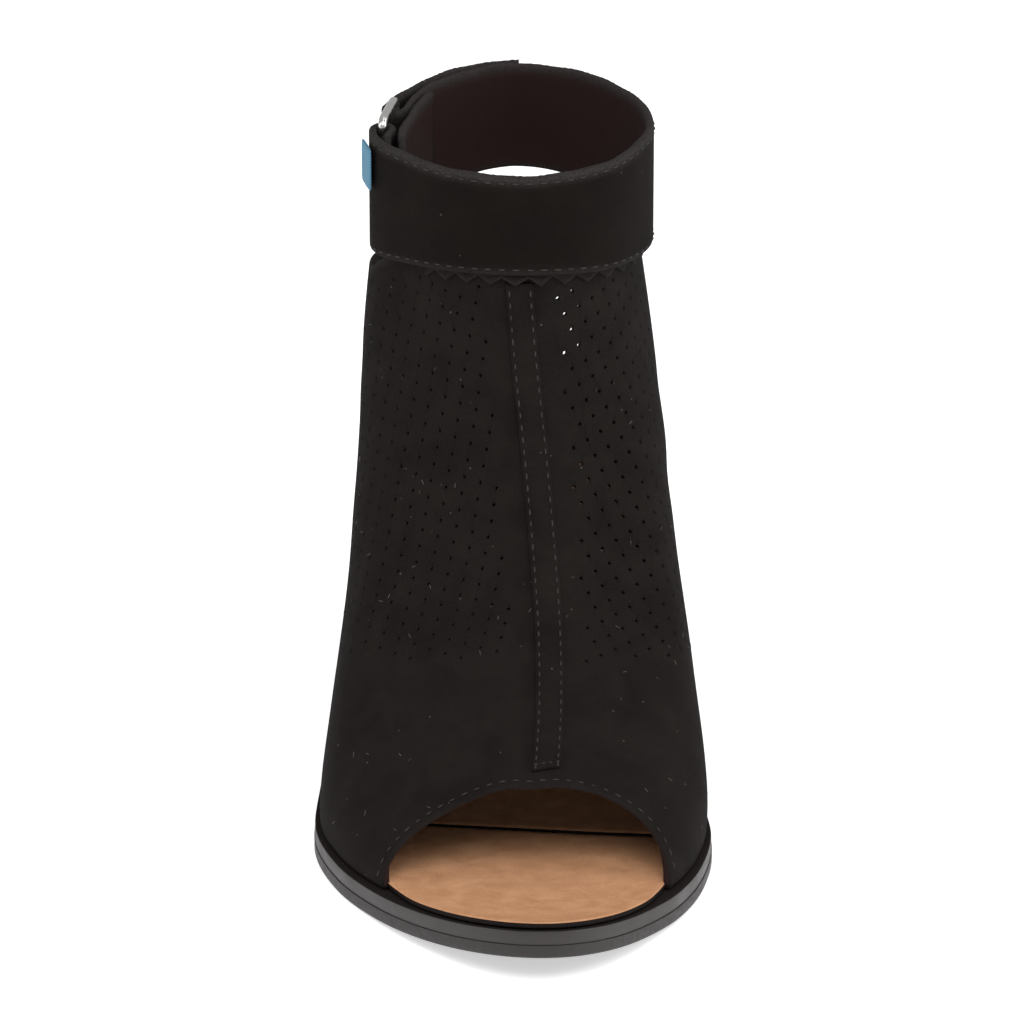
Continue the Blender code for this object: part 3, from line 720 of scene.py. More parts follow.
def sole_edge():
    """Dark and faintly shiny, with soft scuffs along it."""
    made, tree, shader, where = new_material("midsole edge")
    grain = node(tree, "ShaderNodeTexNoise", {"Vector": where, "Scale": 1400.0, "Detail": 3.0})
    scuffs = node(tree, "ShaderNodeTexNoise", {"Vector": where, "Scale": 60.0, "Detail": 4.0, "Distortion": 1.2})
    side = mixed(tree, scuffs.outputs["Fac"], srgb(24, 19, 18), srgb(43, 36, 35))
    tree.links.new(side, shader.inputs["Base Color"])
    shine = node(
        tree, "ShaderNodeMapRange",
        {"Value": scuffs.outputs["Fac"], "From Min": 0.3, "From Max": 0.7, "To Min": 0.38, "To Max": 0.55},
    )
    tree.links.new(shine.outputs["Result"], shader.inputs["Roughness"])
    bumped(tree, shader, grain.outputs["Fac"], 0.00004)
    return made


def woven():
    """Plain weave: two sets of threads crossing at right angles, on the tab's own size."""
    made, tree, shader, where = new_material("woven tab")
    axes = node(tree, "ShaderNodeSeparateXYZ", {"Vector": where}).outputs
    waves = []
    for axis in (axes["Y"], axes["Z"]):
        wave = node(tree, "ShaderNodeMath", {0: axis, 1: 9000.0}, operation="MULTIPLY")
        waves.append(node(tree, "ShaderNodeMath", {0: wave.outputs[0]}, operation="SINE").outputs[0])
    crossed = node(tree, "ShaderNodeMath", {0: waves[0], 1: waves[1]}, operation="MULTIPLY")
    height = node(tree, "ShaderNodeMapRange", {"Value": crossed.outputs[0], "From Min": -1.0, "From Max": 1.0})
    tree.links.new(
        mixed(tree, height.outputs["Result"], srgb(62, 104, 128), srgb(96, 146, 170)), shader.inputs["Base Color"]
    )
    shader.inputs["Roughness"].default_value = 0.85
    bumped(tree, shader, height.outputs["Result"], 0.0001)
    return made


MIDSOLE_EDGE = sole_edge()
WOVEN = woven()
print("plain finishes:", THREAD.name, OUTSOLE_RUBBER.name, METAL.name, WOVEN.name)

# %% [markdown]
# ## Sole
# The sole is two layers, the lower one dull and the upper one a little set back and shinier. A layer is a row of
# slices from toe to heel: each slice goes up the inner edge, over the top, down the outer edge and back underneath.

# %% Sole layers
QUARTER = np.linspace(0, pi / 2, 4)
EDGE_INSETS = np.concatenate([1 - np.sin(QUARTER), 1 - np.cos(QUARTER)])
EDGE_LIFTS = np.concatenate([1 - np.cos(QUARTER), np.sin(QUARTER) - 1])


def layer(name, pairs, inset, bottom, thickness, rounded=(EDGE_ROUND, EDGE_ROUND), across=9, dish=0.0, caps=(False, False)):
    """A layer through pairs of turns, one on the inner and one on the outer edge, rounded below and above."""
    inner, outer = np.array(pairs, float).T
    room = np.linalg.norm(on_outline(inner) - on_outline(outer), axis=-1)

    def raised(plan, up):
        return stacked(plan[..., 0], plan[..., 1], bottom(plan[..., 1]) + up)

    def side(turns):
        own_inset = inset(np.abs(turns)) if callable(inset) else inset
        edges = np.repeat(rounded, len(QUARTER))
        bases = np.repeat([0, thickness], len(QUARTER))
        return [
            raised(inside_outline(turns, own_inset + edge * share), base + edge * lift)
            for edge, share, base, lift in zip(edges, EDGE_INSETS, bases, EDGE_LIFTS)
        ]

    up, down = side(inner), side(outer)[::-1]
    shares = np.linspace(0, 1, across + 2)[1:-1]
    sunk = [dish * np.minimum(1, room / 0.03) * min(1, 5 * share * (1 - share)) for share in shares]
    over = [raised((up[-1] + (down[0] - up[-1]) * s)[..., :2], thickness - d) for s, d in zip(shares, sunk)]
    under = [raised((down[-1] + (up[0] - down[-1]) * s)[..., :2], 0) for s in shares]
    return grid_piece(name, np.stack(up + over + down + under, axis=1), caps=caps)


whole_turns = np.linspace(0, pi, 150)
whole_length = np.stack([whole_turns, -whole_turns], axis=1)
JOINT = 0.00004
outsole = layer("sandal_outsole", whole_length, 0, underside, OUTSOLE, (EDGE_ROUND, 0.00012))
shown(outsole, OUTSOLE_RUBBER, "outsole_rubber", "outsole")
midsole = layer(
    "sandal_midsole", whole_length, MIDSOLE_STEP, lambda y: underside(y) + OUTSOLE + JOINT, MIDSOLE + GAP - JOINT,
    (0.00012, 0.0005),
)
shown(midsole, MIDSOLE_EDGE, "midsole_rubber", "midsole")
# The midsole's top is near-black: dark board, and painted shade where it shows through the insole joint.
midsole.data.materials.append(DARK_EDGE_AND_GAP_SHADE)
for face in midsole.data.polygons:
    face.material_index = int(face.normal.z > 0.5)

# %% [markdown]
# The insole is two pieces of tan suede that meet in a slanted joint just behind the toe opening. Each has soft
# edges and is dished a little, as a foot leaves it. Their edges and undersides are near-black, so that the joint shows
# as a dark line: painted shade in the gap, on top of the board's own dark edge.

# %% Insole
def insole_inset(turn):
    """Inside the upper's wall, and closer to the edge at the open toe."""
    along = (1 - np.cos(turn)) / 2
    in_upper = smooth(PROFILE["along"], PROFILE["inset"], along) + WALL + INSOLE_CLEARANCE
    at_toe = smooth(INSOLE_FRONT["along"], INSOLE_FRONT["inset"], along)
    return at_toe + (in_upper - at_toe) * smooth([INSOLE_FRONT["along"][-1], INSOLE_MEETS_UPPER], [0, 1], along)


JOINT_INNER, JOINT_OUTER = float(turn_of(INSOLE_JOINT_INNER)), float(turn_of(INSOLE_JOINT_OUTER))
JOINT_GAP = INSOLE_JOINT_GAP / (LENGTH / 2)
front_shares = np.linspace(0, 1, 90)
rear_shares = np.linspace(0, 1, 100)
front_pairs = np.stack([JOINT_INNER * front_shares, -JOINT_OUTER * front_shares], axis=1)
rear_pairs = np.stack(
    [
        JOINT_INNER + JOINT_GAP + (pi - JOINT_INNER - JOINT_GAP) * rear_shares,
        -JOINT_OUTER - JOINT_GAP - (pi - JOINT_OUTER - JOINT_GAP) * rear_shares,
    ],
    axis=1,
)
for name, pairs, node_name, caps in (
    ("sandal_insole_front", front_pairs, "insole_forepart", (False, True)),
    ("sandal_insole_back", rear_pairs, "insole_rear", (True, False)),
):
    made = layer(name, pairs, insole_inset, lambda y: midsole_top(y) + GAP, INSOLE, across=15, dish=0.0004, caps=caps)
    shown(made, TAN_SUEDE, "tan_suede", node_name)
    # Edges and undersides take the near-black finish: painted shade in the joint gap between the two pieces.
    made.data.materials.append(DARK_EDGE_AND_GAP_SHADE)
    for face in made.data.polygons:
        face.material_index = int(face.normal.z < 0.35)

# %% [markdown]
# ## Heel
# A block heel is a wooden or plastic core wrapped in the upper's suede, narrower at the floor, with a rubber lift
# that is nailed on and replaced when it wears down.

# %% Heel block and top lift
def heel_piece(name, levels, rounded):
    """Slices of the heel from its front to its back, each up the inner side and down the outer side."""
    turns = np.linspace(float(turn_of(HEEL_BREAST)), pi - 0.01, 60)
    inner, outer = [], []
    for k, (share, height) in enumerate(levels):
        softened = rounded if k in (0, len(levels) - 1) else 0
        inset = HEEL_INSET + HEEL_TAPER * (1 - share) ** 1.5 + softened
        for side, points in ((turns, inner), (-turns, outer)):
            plan = inside_outline(side, inset)
            points.append(stacked(plan[..., 0], plan[..., 1], height(plan[..., 1])))
    return grid_piece(name, np.stack(inner + outer[::-1], axis=1))


BLOCK_BOTTOM = LIFT_HEIGHT + GAP
block_shares = [0, 0.015, *np.linspace(0.06, 0.96, 20), 1]
block_levels = [
    (share, lambda y, s=share: BLOCK_BOTTOM + (underside(y) - GAP - BLOCK_BOTTOM) * s) for share in block_shares
]
lift_levels = [
    (height / HEEL_HEIGHT, lambda y, z=height: np.full(np.shape(y), z))
    for height in (0, 0.0005, LIFT_HEIGHT / 2, LIFT_HEIGHT - 0.0003, LIFT_HEIGHT)
]
shown(heel_piece("sandal_heel_block", block_levels, 0.0004), BLACK_SUEDE, "black_suede", "heel_block")
shown(heel_piece("sandal_top_lift", lift_levels, 0.0004), OUTSOLE_RUBBER, "outsole_rubber", "heel_top_lift")

# %% [markdown]
# ## Upper
# The upper is one hollow sheet, 1.8 mm thick and thinner at the lip of the toe opening. Its edges are rounded over, as
# folded suede is. The creases are listed
# one by one: each is a soft trough or ridge with a middle, a length, a width and a depth in millimetres.

# %% Creases
CREASES = table(
    "turn height length width depth",
    (-62, 0.86, 30, 5, -0.45),
    (-48, 0.78, 26, 6, 0.30),
    (-80, 0.74, 34, 6, -0.40),
    (58, 0.84, 30, 5, -0.40),
    (74, 0.72, 34, 7, 0.35),
    (88, 0.60, 36, 7, -0.45),
    (-96, 0.58, 36, 7, -0.35),
    (36, 0.40, 26, 6, 0.25),
    (-34, 0.36, 26, 7, -0.25),
    (10, 0.66, 40, 9, -0.25),
    (-14, 0.55, 40, 9, 0.22),
)


def creased(turn, height, base):
    """How far the creases move the surface in or out."""
    turn = (np.asarray(turn) + pi) % (2 * pi) - pi
    total = 0
    for k in range(len(CREASES["turn"])):
        row = {column: CREASES[column][k] for column in CREASES}
        middle = upper_base(radians(row["turn"]), row["height"])
        away = (base - middle) * 1000
        slant = 0.35 * np.sign(row["turn"] or 1) * away[..., 2]
        sideways = np.hypot(away[..., 0], away[..., 1])
        along_crease, across_crease = sideways / row["length"], (away[..., 2] + 0.3 * slant) / row["width"]
        total = total + row["depth"] / 1000 * np.exp(-(along_crease**2) - across_crease**2)
    return total


# %% Hollow upper
UPPER_COLUMNS = (64, 154)
UPPER_ROWS = 72
ROLL = WALL / 2
LIP = 0.45


def upper_turns():
    """Turns of the upper's columns, closest together at the corners of the toe opening."""
    corner = float(turn_of(CORNER_BACK / LENGTH))
    steps = np.sin(pi / 2 * np.arange(UPPER_COLUMNS[0]) / UPPER_COLUMNS[0])
    inner = OPENING_MIDDLE + (corner - OPENING_MIDDLE) * steps
    outer = OPENING_MIDDLE - (corner + OPENING_MIDDLE) * steps[1:]
    sides = np.linspace(corner, 2 * pi - corner, 2 * UPPER_COLUMNS[1] + 1)
    return np.concatenate([inner, sides, outer[::-1] + 2 * pi])


turns = upper_turns()[:, None]
low, high = opening_edge(turns), top_edge(turns)
in_opening = low > 0.004
low_roll = ROLL * np.where(in_opening, LIP, 1) * share_per_metre(turns, low)
high_roll = ROLL * share_per_metre(turns, high)
shares = np.linspace(0, 1, UPPER_ROWS)[None, :]
flat = low + low_roll + (high - high_roll - low - low_roll) * shares
over = np.linspace(0, pi, 9)[None, 1:-1]
heights = np.hstack([flat, high - high_roll + high_roll * np.sin(over), flat[:, ::-1], low + low_roll - low_roll * np.sin(over)])
ones = np.ones((len(turns), 1))
phases = np.hstack([0 * flat, ones * over, 0 * flat + pi, ones * over + pi])
is_inside = np.hstack([0 * flat, ones * (over > 1.2), 0 * flat + 1, ones * (over < 1.9)])
above_opening = (heights - low) / share_per_metre(turns, low)
thin = np.where(in_opening, (1 - LIP) * np.exp(-(above_opening / 0.003) ** 2), 0)
depths = (np.cos(phases) - 1) * ROLL * (1 - thin)
opening_rim = np.where(in_opening, 0.15 * np.exp(-(above_opening / 0.0009) ** 2), 0)
top_rim = np.exp(-(((high - heights) / share_per_metre(turns, high)) / 0.0011) ** 2)
base = upper_base(turns, heights)
points = base + upper_normal(turns, heights) * (depths + creased(turns, heights, base))[..., None]
points[..., 2] = np.maximum(points[..., 2], midsole_top(points[..., 1]) + GAP / 2)
shell = grid_piece("upper shell", points, closed=True, inside=is_inside, rim=np.clip(opening_rim + top_rim, 0, 1))
print("upper shell:", len(shell.data.polygons), "faces, closed")

# %% [markdown]
# ## Pinholes
# The side panels are punched with a square lattice of 1 mm holes before the shoe is made, so the lattice follows the
# leather: it is measured along the surface, sideways from the centre strip and down from the cuff. Each panel's
# lattice is turned, 22 degrees on the inner side and 15 on the outer side. Geometry Nodes put a small cylinder on each
# mark, square to the surface, and a Boolean cuts them all. Real holes let light through, as in the real shoe.

# %% Lattice of holes
HOLE_RADIUS = 0.0005
HOLE_PITCH = 0.0042
LATTICE = table(
    "side tilt across down first_row last_angle lean",
    (1, 22, 0.0093, 0.0061, 0.0030, 100, -0.19),
    (-1, 15, 0.0109, 0.0075, 0.0030, 96, -0.22),
)
NEAREST_STRIP = 0.0090
HOLES_DOWN = 0.097
HOLES_ABOVE_SOLE = 0.014
chart_turns = np.linspace(-2.35, 2.35, 700)
chart_heights = np.linspace(1, 0, 160)
line_points = upper_base(chart_turns[None, :], chart_heights[:, None])
line_lengths = np.vstack([0 * chart_turns, np.cumsum(np.linalg.norm(np.diff(line_points, axis=0), axis=-1), axis=0)])


def chart_row(down):
    """Heights and sideways distances from the strip, along the row that lies this far below the cuff."""
    rows = np.array([np.interp(down, line_lengths[:, k], chart_heights) for k in range(len(chart_turns))])
    steps = np.linalg.norm(np.diff(upper_base(chart_turns, rows), axis=0), axis=-1)
    sideways = np.concatenate([[0], np.cumsum(steps)])
    front = float(np.interp(0.0, chart_turns, rows))
    strip_turn = float(turn_at_width(front, smooth(STRIP_LINE["height"], STRIP_LINE["across"], front)))
    return rows, sideways - np.interp(strip_turn, chart_turns, sideways)


CHART_DOWN = np.arange(0, HOLES_DOWN + 0.004, 0.001)
CHART = [chart_row(down) for down in CHART_DOWN]
marks = []
for k in range(2):
    row = {column: LATTICE[column][k] for column in LATTICE}
    tilt = radians(row["tilt"])
    for line in range(-30, 60):
        for step in range(-40, 60):
            across = row["across"] + HOLE_PITCH * (line * cos(tilt) + step * sin(tilt))
            down = row["down"] + HOLE_PITCH * (step * cos(tilt) - line * sin(tilt))
            if across < NEAREST_STRIP or not row["first_row"] < down < HOLES_DOWN:
                continue
            nearest = int(down / 0.001)
            rows, sideways = (
                CHART[nearest][i] + (CHART[nearest + 1][i] - CHART[nearest][i]) * (down / 0.001 - nearest) for i in (0, 1)
            )
            turn = float(np.interp(row["side"] * across, sideways, chart_turns, left=9, right=9))
            if turn == 9 or abs(degrees(turn - PROFILE_LAG * sin(turn))) > row["last_angle"]:
                continue
            height = float(np.interp(turn, chart_turns, rows))
            above_sole = height / float(share_per_metre(turn, 0.1))
            if above_sole > HOLES_ABOVE_SOLE and height < float(top_edge(turn)) - 0.03:
                marks.append((turn, height, row["lean"]))
marks = np.array(marks)
hole_points = on_upper(marks[:, 0], marks[:, 1], -WALL / 2)
hole_normals = unit(upper_normal(marks[:, 0], marks[:, 1]) + marks[:, 2:] * np.array([1, 0, 0]))
print("pinholes:", len(marks))

# %% Punching tree
PUNCH, given, made = new_tree(
    "punched holes",
    "GeometryNodeTree",
    [("Geometry", "Geometry"), ("Marks", "Object"), ("Hole Radius", "Float", 0.0005), ("Hole Depth", "Float", 0.005),
     ("Hole Edge", "Material")],
    [("Geometry", "Geometry")],
)
marks_in = node(PUNCH, "GeometryNodeObjectInfo", {"Object": given["Marks"]})
punch = node(
    PUNCH, "GeometryNodeMeshCylinder", {"Vertices": 10, "Radius": given["Hole Radius"], "Depth": given["Hole Depth"]}
)
faces_out = node(PUNCH, "GeometryNodeInputNamedAttribute", {"Name": "out"}, data_type="FLOAT_VECTOR")
upright = node(PUNCH, "FunctionNodeAlignRotationToVector", {"Vector": faces_out.outputs["Attribute"]}, axis="Z")
placed = node(
    PUNCH, "GeometryNodeInstanceOnPoints",
    {"Points": marks_in.outputs["Geometry"], "Instance": punch.outputs["Mesh"], "Rotation": upright.outputs["Rotation"]},
)
punches = node(PUNCH, "GeometryNodeRealizeInstances", {"Geometry": placed.outputs["Instances"]})
edged = node(
    PUNCH, "GeometryNodeSetMaterial", {"Geometry": punches.outputs["Geometry"], "Material": given["Hole Edge"]}
)
cut = node(
    PUNCH, "GeometryNodeMeshBoolean", {"Mesh 1": given["Geometry"], "Mesh 2": edged.outputs["Geometry"]},
    operation="DIFFERENCE", solver="MANIFOLD",
)
PUNCH.links.new(cut.outputs["Mesh"], made["Geometry"])


def marked_points(name, points, normals, edges=()):
    """A mesh of bare points that keeps the outward direction at each one."""
    data = bpy.data.meshes.new(name)
    data.from_pydata(points.tolist(), [tuple(edge) for edge in edges], [])
    data.attributes.new("out", "FLOAT_VECTOR", "POINT").data.foreach_set("vector", normals.astype(np.float32).ravel())
    made = bpy.data.objects.new(name, data)
    bpy.context.scene.collection.objects.link(made)
    return made


hole_marks = marked_points("hole marks", hole_points, hole_normals)
shell.data.materials.append(BLACK_SUEDE)
upper = made_by_nodes(
    "sandal_upper", shell, PUNCH, marks=hole_marks, hole_radius=HOLE_RADIUS, hole_depth=0.006, hole_edge=RAW_EDGE
)
bpy.data.objects.remove(hole_marks)
upper.data.polygons.foreach_set("use_smooth", [True] * len(upper.data.polygons))
shown(upper, None, "black_suede", "upper")
print("upper attributes:", [a.name for a in upper.data.attributes], "materials:", [m.name for m in upper.data.materials])

# %% [markdown]
# ## Centre strip and pinked trim
# A narrow strip covers the front seam. It is a band of suede with thinner edges, laid on the upper from the trim to
# the toe opening. The trim under the cuff is cut with pinking shears, so its edge is a row of teeth that doesn't fray.

# %% Centre strip
strip_heights = np.linspace(STRIP_LINE["height"][0], STRIP_LINE["height"][-1], 160)
strip_middle = smooth(STRIP_LINE["height"], STRIP_LINE["across"], strip_heights)
STRIP_SECTION = table(
    "across rise",
    (-0.50, 0.10), (-0.49, 0.55), (-0.46, 0.80), (-0.38, 0.95), (-0.31, 0.86), (-0.20, 1.00), (0.00, 1.05),
    (0.20, 1.00), (0.31, 0.86), (0.38, 0.95), (0.46, 0.80), (0.49, 0.55), (0.50, 0.10),
)
over_points, under_points = [], []
for across, rise in zip(STRIP_SECTION["across"], STRIP_SECTION["rise"]):
    strip_turns = turn_at_width(strip_heights, strip_middle + STRIP_WIDTH * across)
    over_points.append(on_upper(strip_turns, strip_heights, GAP + STRIP * rise))
    under_points.append(on_upper(strip_turns, strip_heights, 0 * strip_turns + GAP * 0.6))
strip = grid_piece("sandal_centre_strip", np.stack(over_points + under_points[::-1], axis=1))
shown(strip, BLACK_SUEDE, "black_suede", "centre_strip")

# %% Pinked trim
first, last = map(radians, TRIM_ANGLES)
teeth = round((last - first) * (COLLAR_WIDTH + COLLAR_DEPTH) / 4 / TOOTH_PITCH)
trim_angles = np.linspace(first, last, 2 * teeth * 6 + 1)
trim_turns = turn_at_angle(trim_angles)
saw = np.abs((np.arange(len(trim_angles)) / 6 + 1) % 2 - 1)
valley = 1 - GAP * share_per_metre(trim_turns, 0.99)
foot = valley - TOOTH_DEPTH * share_per_metre(trim_turns, 0.99) * (1 - saw)
crest = 1 + BAND_SHARE * 0.1
TRIM_ROWS = (0, 0.12, 0.4, 0.7, 1)
beside_strip = np.abs(upper_base(trim_turns, 1.0)[:, 0] - STRIP_LINE["across"][-1]) / STRIP_WIDTH
over_strip = (STRIP + GAP) * smooth([0, 0.6, 1.1], [1, 1, 0], beside_strip)
trim_over, trim_under = [], []
for s in TRIM_ROWS:
    rise = GAP + over_strip * max(1 - 2 * s, 0)
    trim_over.append(on_upper(trim_turns, foot + (crest - foot) * s, rise + TRIM * (0.7 if s == 0 else 1)))
    trim_under.append(on_upper(trim_turns, foot + (crest - foot) * s, rise))
trim_rim = np.array([0.6, 0.3, 0, 0, 0, 0, 0, 0, 0, 0.6])
trim = grid_piece("sandal_pinked_trim", np.stack(trim_over + trim_under[::-1], axis=1), rim=trim_rim[None, :])
shown(trim, BLACK_SUEDE, "black_suede", "pinked_trim")
print("teeth:", teeth)

# %% [markdown]
# ## Ankle cuff
# The cuff is one strap. It is turned back round the ring's front bar, runs round the front and the inner side to the
# back, goes through the ring and folds back on itself. The mesh is a rounded section carried along that path. The
# strap's inner face is lined with dark brown leather and its edges are fuzzy. A second, short strap lies under the
# ring, so that the metal doesn't touch the ankle.

# %% Strap section and paths
def along_path(path, spacing):
    """The same path with evenly spaced points."""
    lengths = np.concatenate([[0], np.cumsum(np.linalg.norm(np.diff(path, axis=0), axis=1))])
    even = np.linspace(0, lengths[-1], max(int(lengths[-1] / spacing), 8))
    return np.stack([np.interp(even, lengths, path[:, k]) for k in (0, 1)], axis=1), even


def strap_piece(name, path, lined, wave=0.0, rows=22):
    """A strap that stands on edge along a path in plan, lined between two places along it."""
    plan, place = along_path(path, 0.0008)
    step = np.gradient(plan, axis=0)
    side = unit(stacked(step[:, 1], -step[:, 0]))
    rolled = np.linspace(0, pi, 7)[1:-1]
    shares = 0.5 * np.concatenate([np.ones(rows), np.cos(rolled), -np.ones(rows), -np.cos(rolled)])
    levels = np.concatenate([np.linspace(0, 1, rows), np.ones(5), np.linspace(1, 0, rows), np.zeros(5)])
    beyond = np.concatenate([np.zeros(rows), np.sin(rolled), np.zeros(rows), -np.sin(rolled)])
    low = cuff_bottom(plan[:, 0], plan[:, 1]) + STRAP / 2
    high = cuff_top(plan[:, 1]) - STRAP / 2
    ripple = wave * (np.sin(place * 260) + 0.6 * np.sin(place * 610 + 1.3) + 0.7 * np.sin(place * 3300) * np.sin(place * 470))
    loops = []
    for share, level, out in zip(shares, levels, beyond):
        across = plan + side * STRAP * share
        loops.append(stacked(across[:, 0], across[:, 1], low + (high - low) * level + out * STRAP / 2 + ripple * level**3))
    is_lined = ((place > lined[0]) & (place < lined[1]))[:, None] * (shares < -0.2)[None, :]
    above_bottom = levels[None, :] * (high - low)[:, None]
    below_top = (1 - levels)[None, :] * (high - low)[:, None]
    rim = np.exp(-((below_top / 0.0012) ** 2)) + 0.4 * np.exp(-((above_bottom / 0.0008) ** 2))
    return grid_piece(name, np.stack(loops, axis=1), inside=is_lined.astype(float), rim=rim)


def path_length(path):
    return np.linalg.norm(np.diff(path, axis=0), axis=1).sum()


def cuff_points(angles, inward):
    return round_ankle(CUFF_WIDTH, CUFF_DEPTH, np.radians(angles), STRAP / 2 + inward)[0]


def ring_bar(angle):
    """Middle of a ring bar, and the outward direction there."""
    return round_ankle(CUFF_WIDTH, CUFF_DEPTH, radians(angle), STRAP + GAP + WIRE / 2)


def fold(centre, start, radius):
    """Half a turn round a bar in plan, clockwise from the start direction."""
    first = np.arctan2(start[1], start[0])
    turns = first - np.linspace(0, pi, 17)
    return centre + radius * np.stack([np.cos(turns), np.sin(turns)], axis=1)


# %% Cuff
STRAP_LAYER = STRAP + LAYER_GAP
FOLD_RADIUS = WIRE / 2 + GAP + STRAP / 2


def along_cuff(line, start, end, count):
    """Points along one of the strap's tables."""
    angles = np.linspace(start, end, count)
    return cuff_points(angles, STRAP_LAYER * smooth(line["angle"], line["layers"], angles))


front_bar, front_out = ring_bar(FRONT_BAR)
rear_bar, rear_out = ring_bar(REAR_BAR)
near_bar = np.linspace(0, 1, 40)
return_angles = RETURN_END + (FRONT_BAR + 1 - RETURN_END) * near_bar
returned = cuff_points(return_angles, STRAP + GAP + (WIRE + GAP) * smooth([0, 0.5, 1], [0, 0.5, 1], near_bar))
turned_back = np.vstack([returned, fold(front_bar, front_out, FOLD_RADIUS)[::-1]])
main_run = along_cuff(CUFF_LINE, CUFF_LINE["angle"][0], CUFF_LINE["angle"][-1], 700)
strap_end = along_cuff(STRAP_END_LINE, STRAP_END_LINE["angle"][-1], STRAP_END_LINE["angle"][0], 160)
lined = (path_length(turned_back), path_length(turned_back) + path_length(main_run))
cuff_path = np.vstack([turned_back, main_run, fold(rear_bar, -rear_out, FOLD_RADIUS), strap_end])
shown(strap_piece("sandal_ankle_cuff", cuff_path, lined, wave=0.00012), CUFF_SUEDE, "black_suede", "ankle_cuff")
print("strap length:", round(lined[1] - lined[0], 3), "m from bar to bar")

# %% Underlay
underlay_path = along_cuff(UNDERLAY_LINE, UNDERLAY_LINE["angle"][0], UNDERLAY_LINE["angle"][-1], 200)
shown(strap_piece("sandal_underlay", underlay_path, (0, 1), wave=0.00012), CUFF_SUEDE, "black_suede", "underlay")

# %% [markdown]
# ## Ring
# The ring is one bent wire. A path with eight corners is rounded by a Fillet Curve node and given a round section by
# Curve to Mesh, so its size is set by two named inputs: wire and corner radius.

# %% Bent wire
BENT_WIRE, given, made = new_tree(
    "bent wire",
    "GeometryNodeTree",
    [("Geometry", "Geometry"), ("Wire", "Float", 0.002), ("Corner", "Float", 0.0008), ("Finish", "Material")],
    [("Geometry", "Geometry")],
)
line = node(BENT_WIRE, "GeometryNodeMeshToCurve", {"Mesh": given["Geometry"]})
rounded = node(
    BENT_WIRE, "GeometryNodeFilletCurve",
    {"Curve": line.outputs["Curve"], "Radius": given["Corner"], "Count": 8, "Limit Radius": True}, mode="POLY",
)
radius = node(BENT_WIRE, "ShaderNodeMath", {0: given["Wire"], 1: 0.5}, operation="MULTIPLY")
section = node(BENT_WIRE, "GeometryNodeCurvePrimitiveCircle", {"Resolution": 20, "Radius": radius.outputs[0]})
swept = node(
    BENT_WIRE, "GeometryNodeCurveToMesh",
    {"Curve": rounded.outputs["Curve"], "Profile Curve": section.outputs["Curve"]},
)
real = node(BENT_WIRE, "GeometryNodeRealizeInstances", {"Geometry": swept.outputs["Mesh"]})
finished = node(BENT_WIRE, "GeometryNodeSetMaterial", {"Geometry": real.outputs["Geometry"], "Material": given["Finish"]})
BENT_WIRE.links.new(finished.outputs["Geometry"], made["Geometry"])

clear = RING_HEADROOM + WIRE / 2
corner_cut = clear - GAP
along_ring = unit(rear_bar - front_bar) * corner_cut
top_front, top_rear = cuff_top(front_bar[1]) + clear, cuff_top(rear_bar[1]) + clear
low_front, low_rear = cuff_bottom(*front_bar) - clear, cuff_bottom(*rear_bar) - clear
ring_line = np.array(
    [
        (*front_bar, top_front - corner_cut), (*(front_bar + along_ring), top_front),
        (*(rear_bar - along_ring), top_rear), (*rear_bar, top_rear - corner_cut),
        (*rear_bar, low_rear + corner_cut), (*(rear_bar - along_ring), low_rear),
        (*(front_bar + along_ring), low_front), (*front_bar, low_front + corner_cut),
    ]
)
ring_edges = [(k, (k + 1) % len(ring_line)) for k in range(len(ring_line))]
ring_path = marked_points("ring path", ring_line, 0 * ring_line, ring_edges)
ring = made_by_nodes("sandal_ring", ring_path, BENT_WIRE, wire=WIRE, corner=0.0012, finish=METAL)
tidy_mesh(ring.data)
shown(ring, None, "silver_metal", "ring")

# %% [markdown]
# The tab is a folded scrap of woven cloth, sewn into the cuff's outer side. It is a small padded box: a cube with
# rounded edges, a little thinner towards its sewn edge.

# %% Woven tab
tab_point, tab_out = round_ankle(CUFF_WIDTH, CUFF_DEPTH, radians(TAB_ANGLE), -GAP - TAB_SIZE[0] / 2)
tab_high = float(cuff_top(tab_point[1])) - TAB_BELOW_RIM
tab_along = np.array([-tab_out[1], tab_out[0]])
loops = []
for share in np.linspace(-0.5, 0.5, 25):
    fullness = 1 - (2 * abs(share)) ** 6 * 0.6
    loop = []
    for t in np.linspace(0, 2 * pi, 40, endpoint=False):
        thick = TAB_SIZE[0] / 2 * fullness * np.sign(cos(t)) * abs(cos(t)) ** 0.5
        tall = TAB_SIZE[2] / 2 * np.sign(sin(t)) * abs(sin(t)) ** 0.25
        plan = tab_point + tab_along * TAB_SIZE[1] * share + tab_out * thick
        loop.append((*plan, tab_high - TAB_SIZE[2] / 2 + tall))
    loops.append(loop)
shown(grid_piece("sandal_tab", np.array(loops)), WOVEN, "woven_tab", "tab")

# %% [markdown]
# ## Stitches
# A sewing machine leaves one stitch at each pitch: a short run of thread that dips into the leather at both ends. One
# Geometry Nodes tree does every seam. It resamples a line at the pitch, puts an egg-shaped stitch on each point, turned
# along the seam and square to the surface, and makes the instances real.

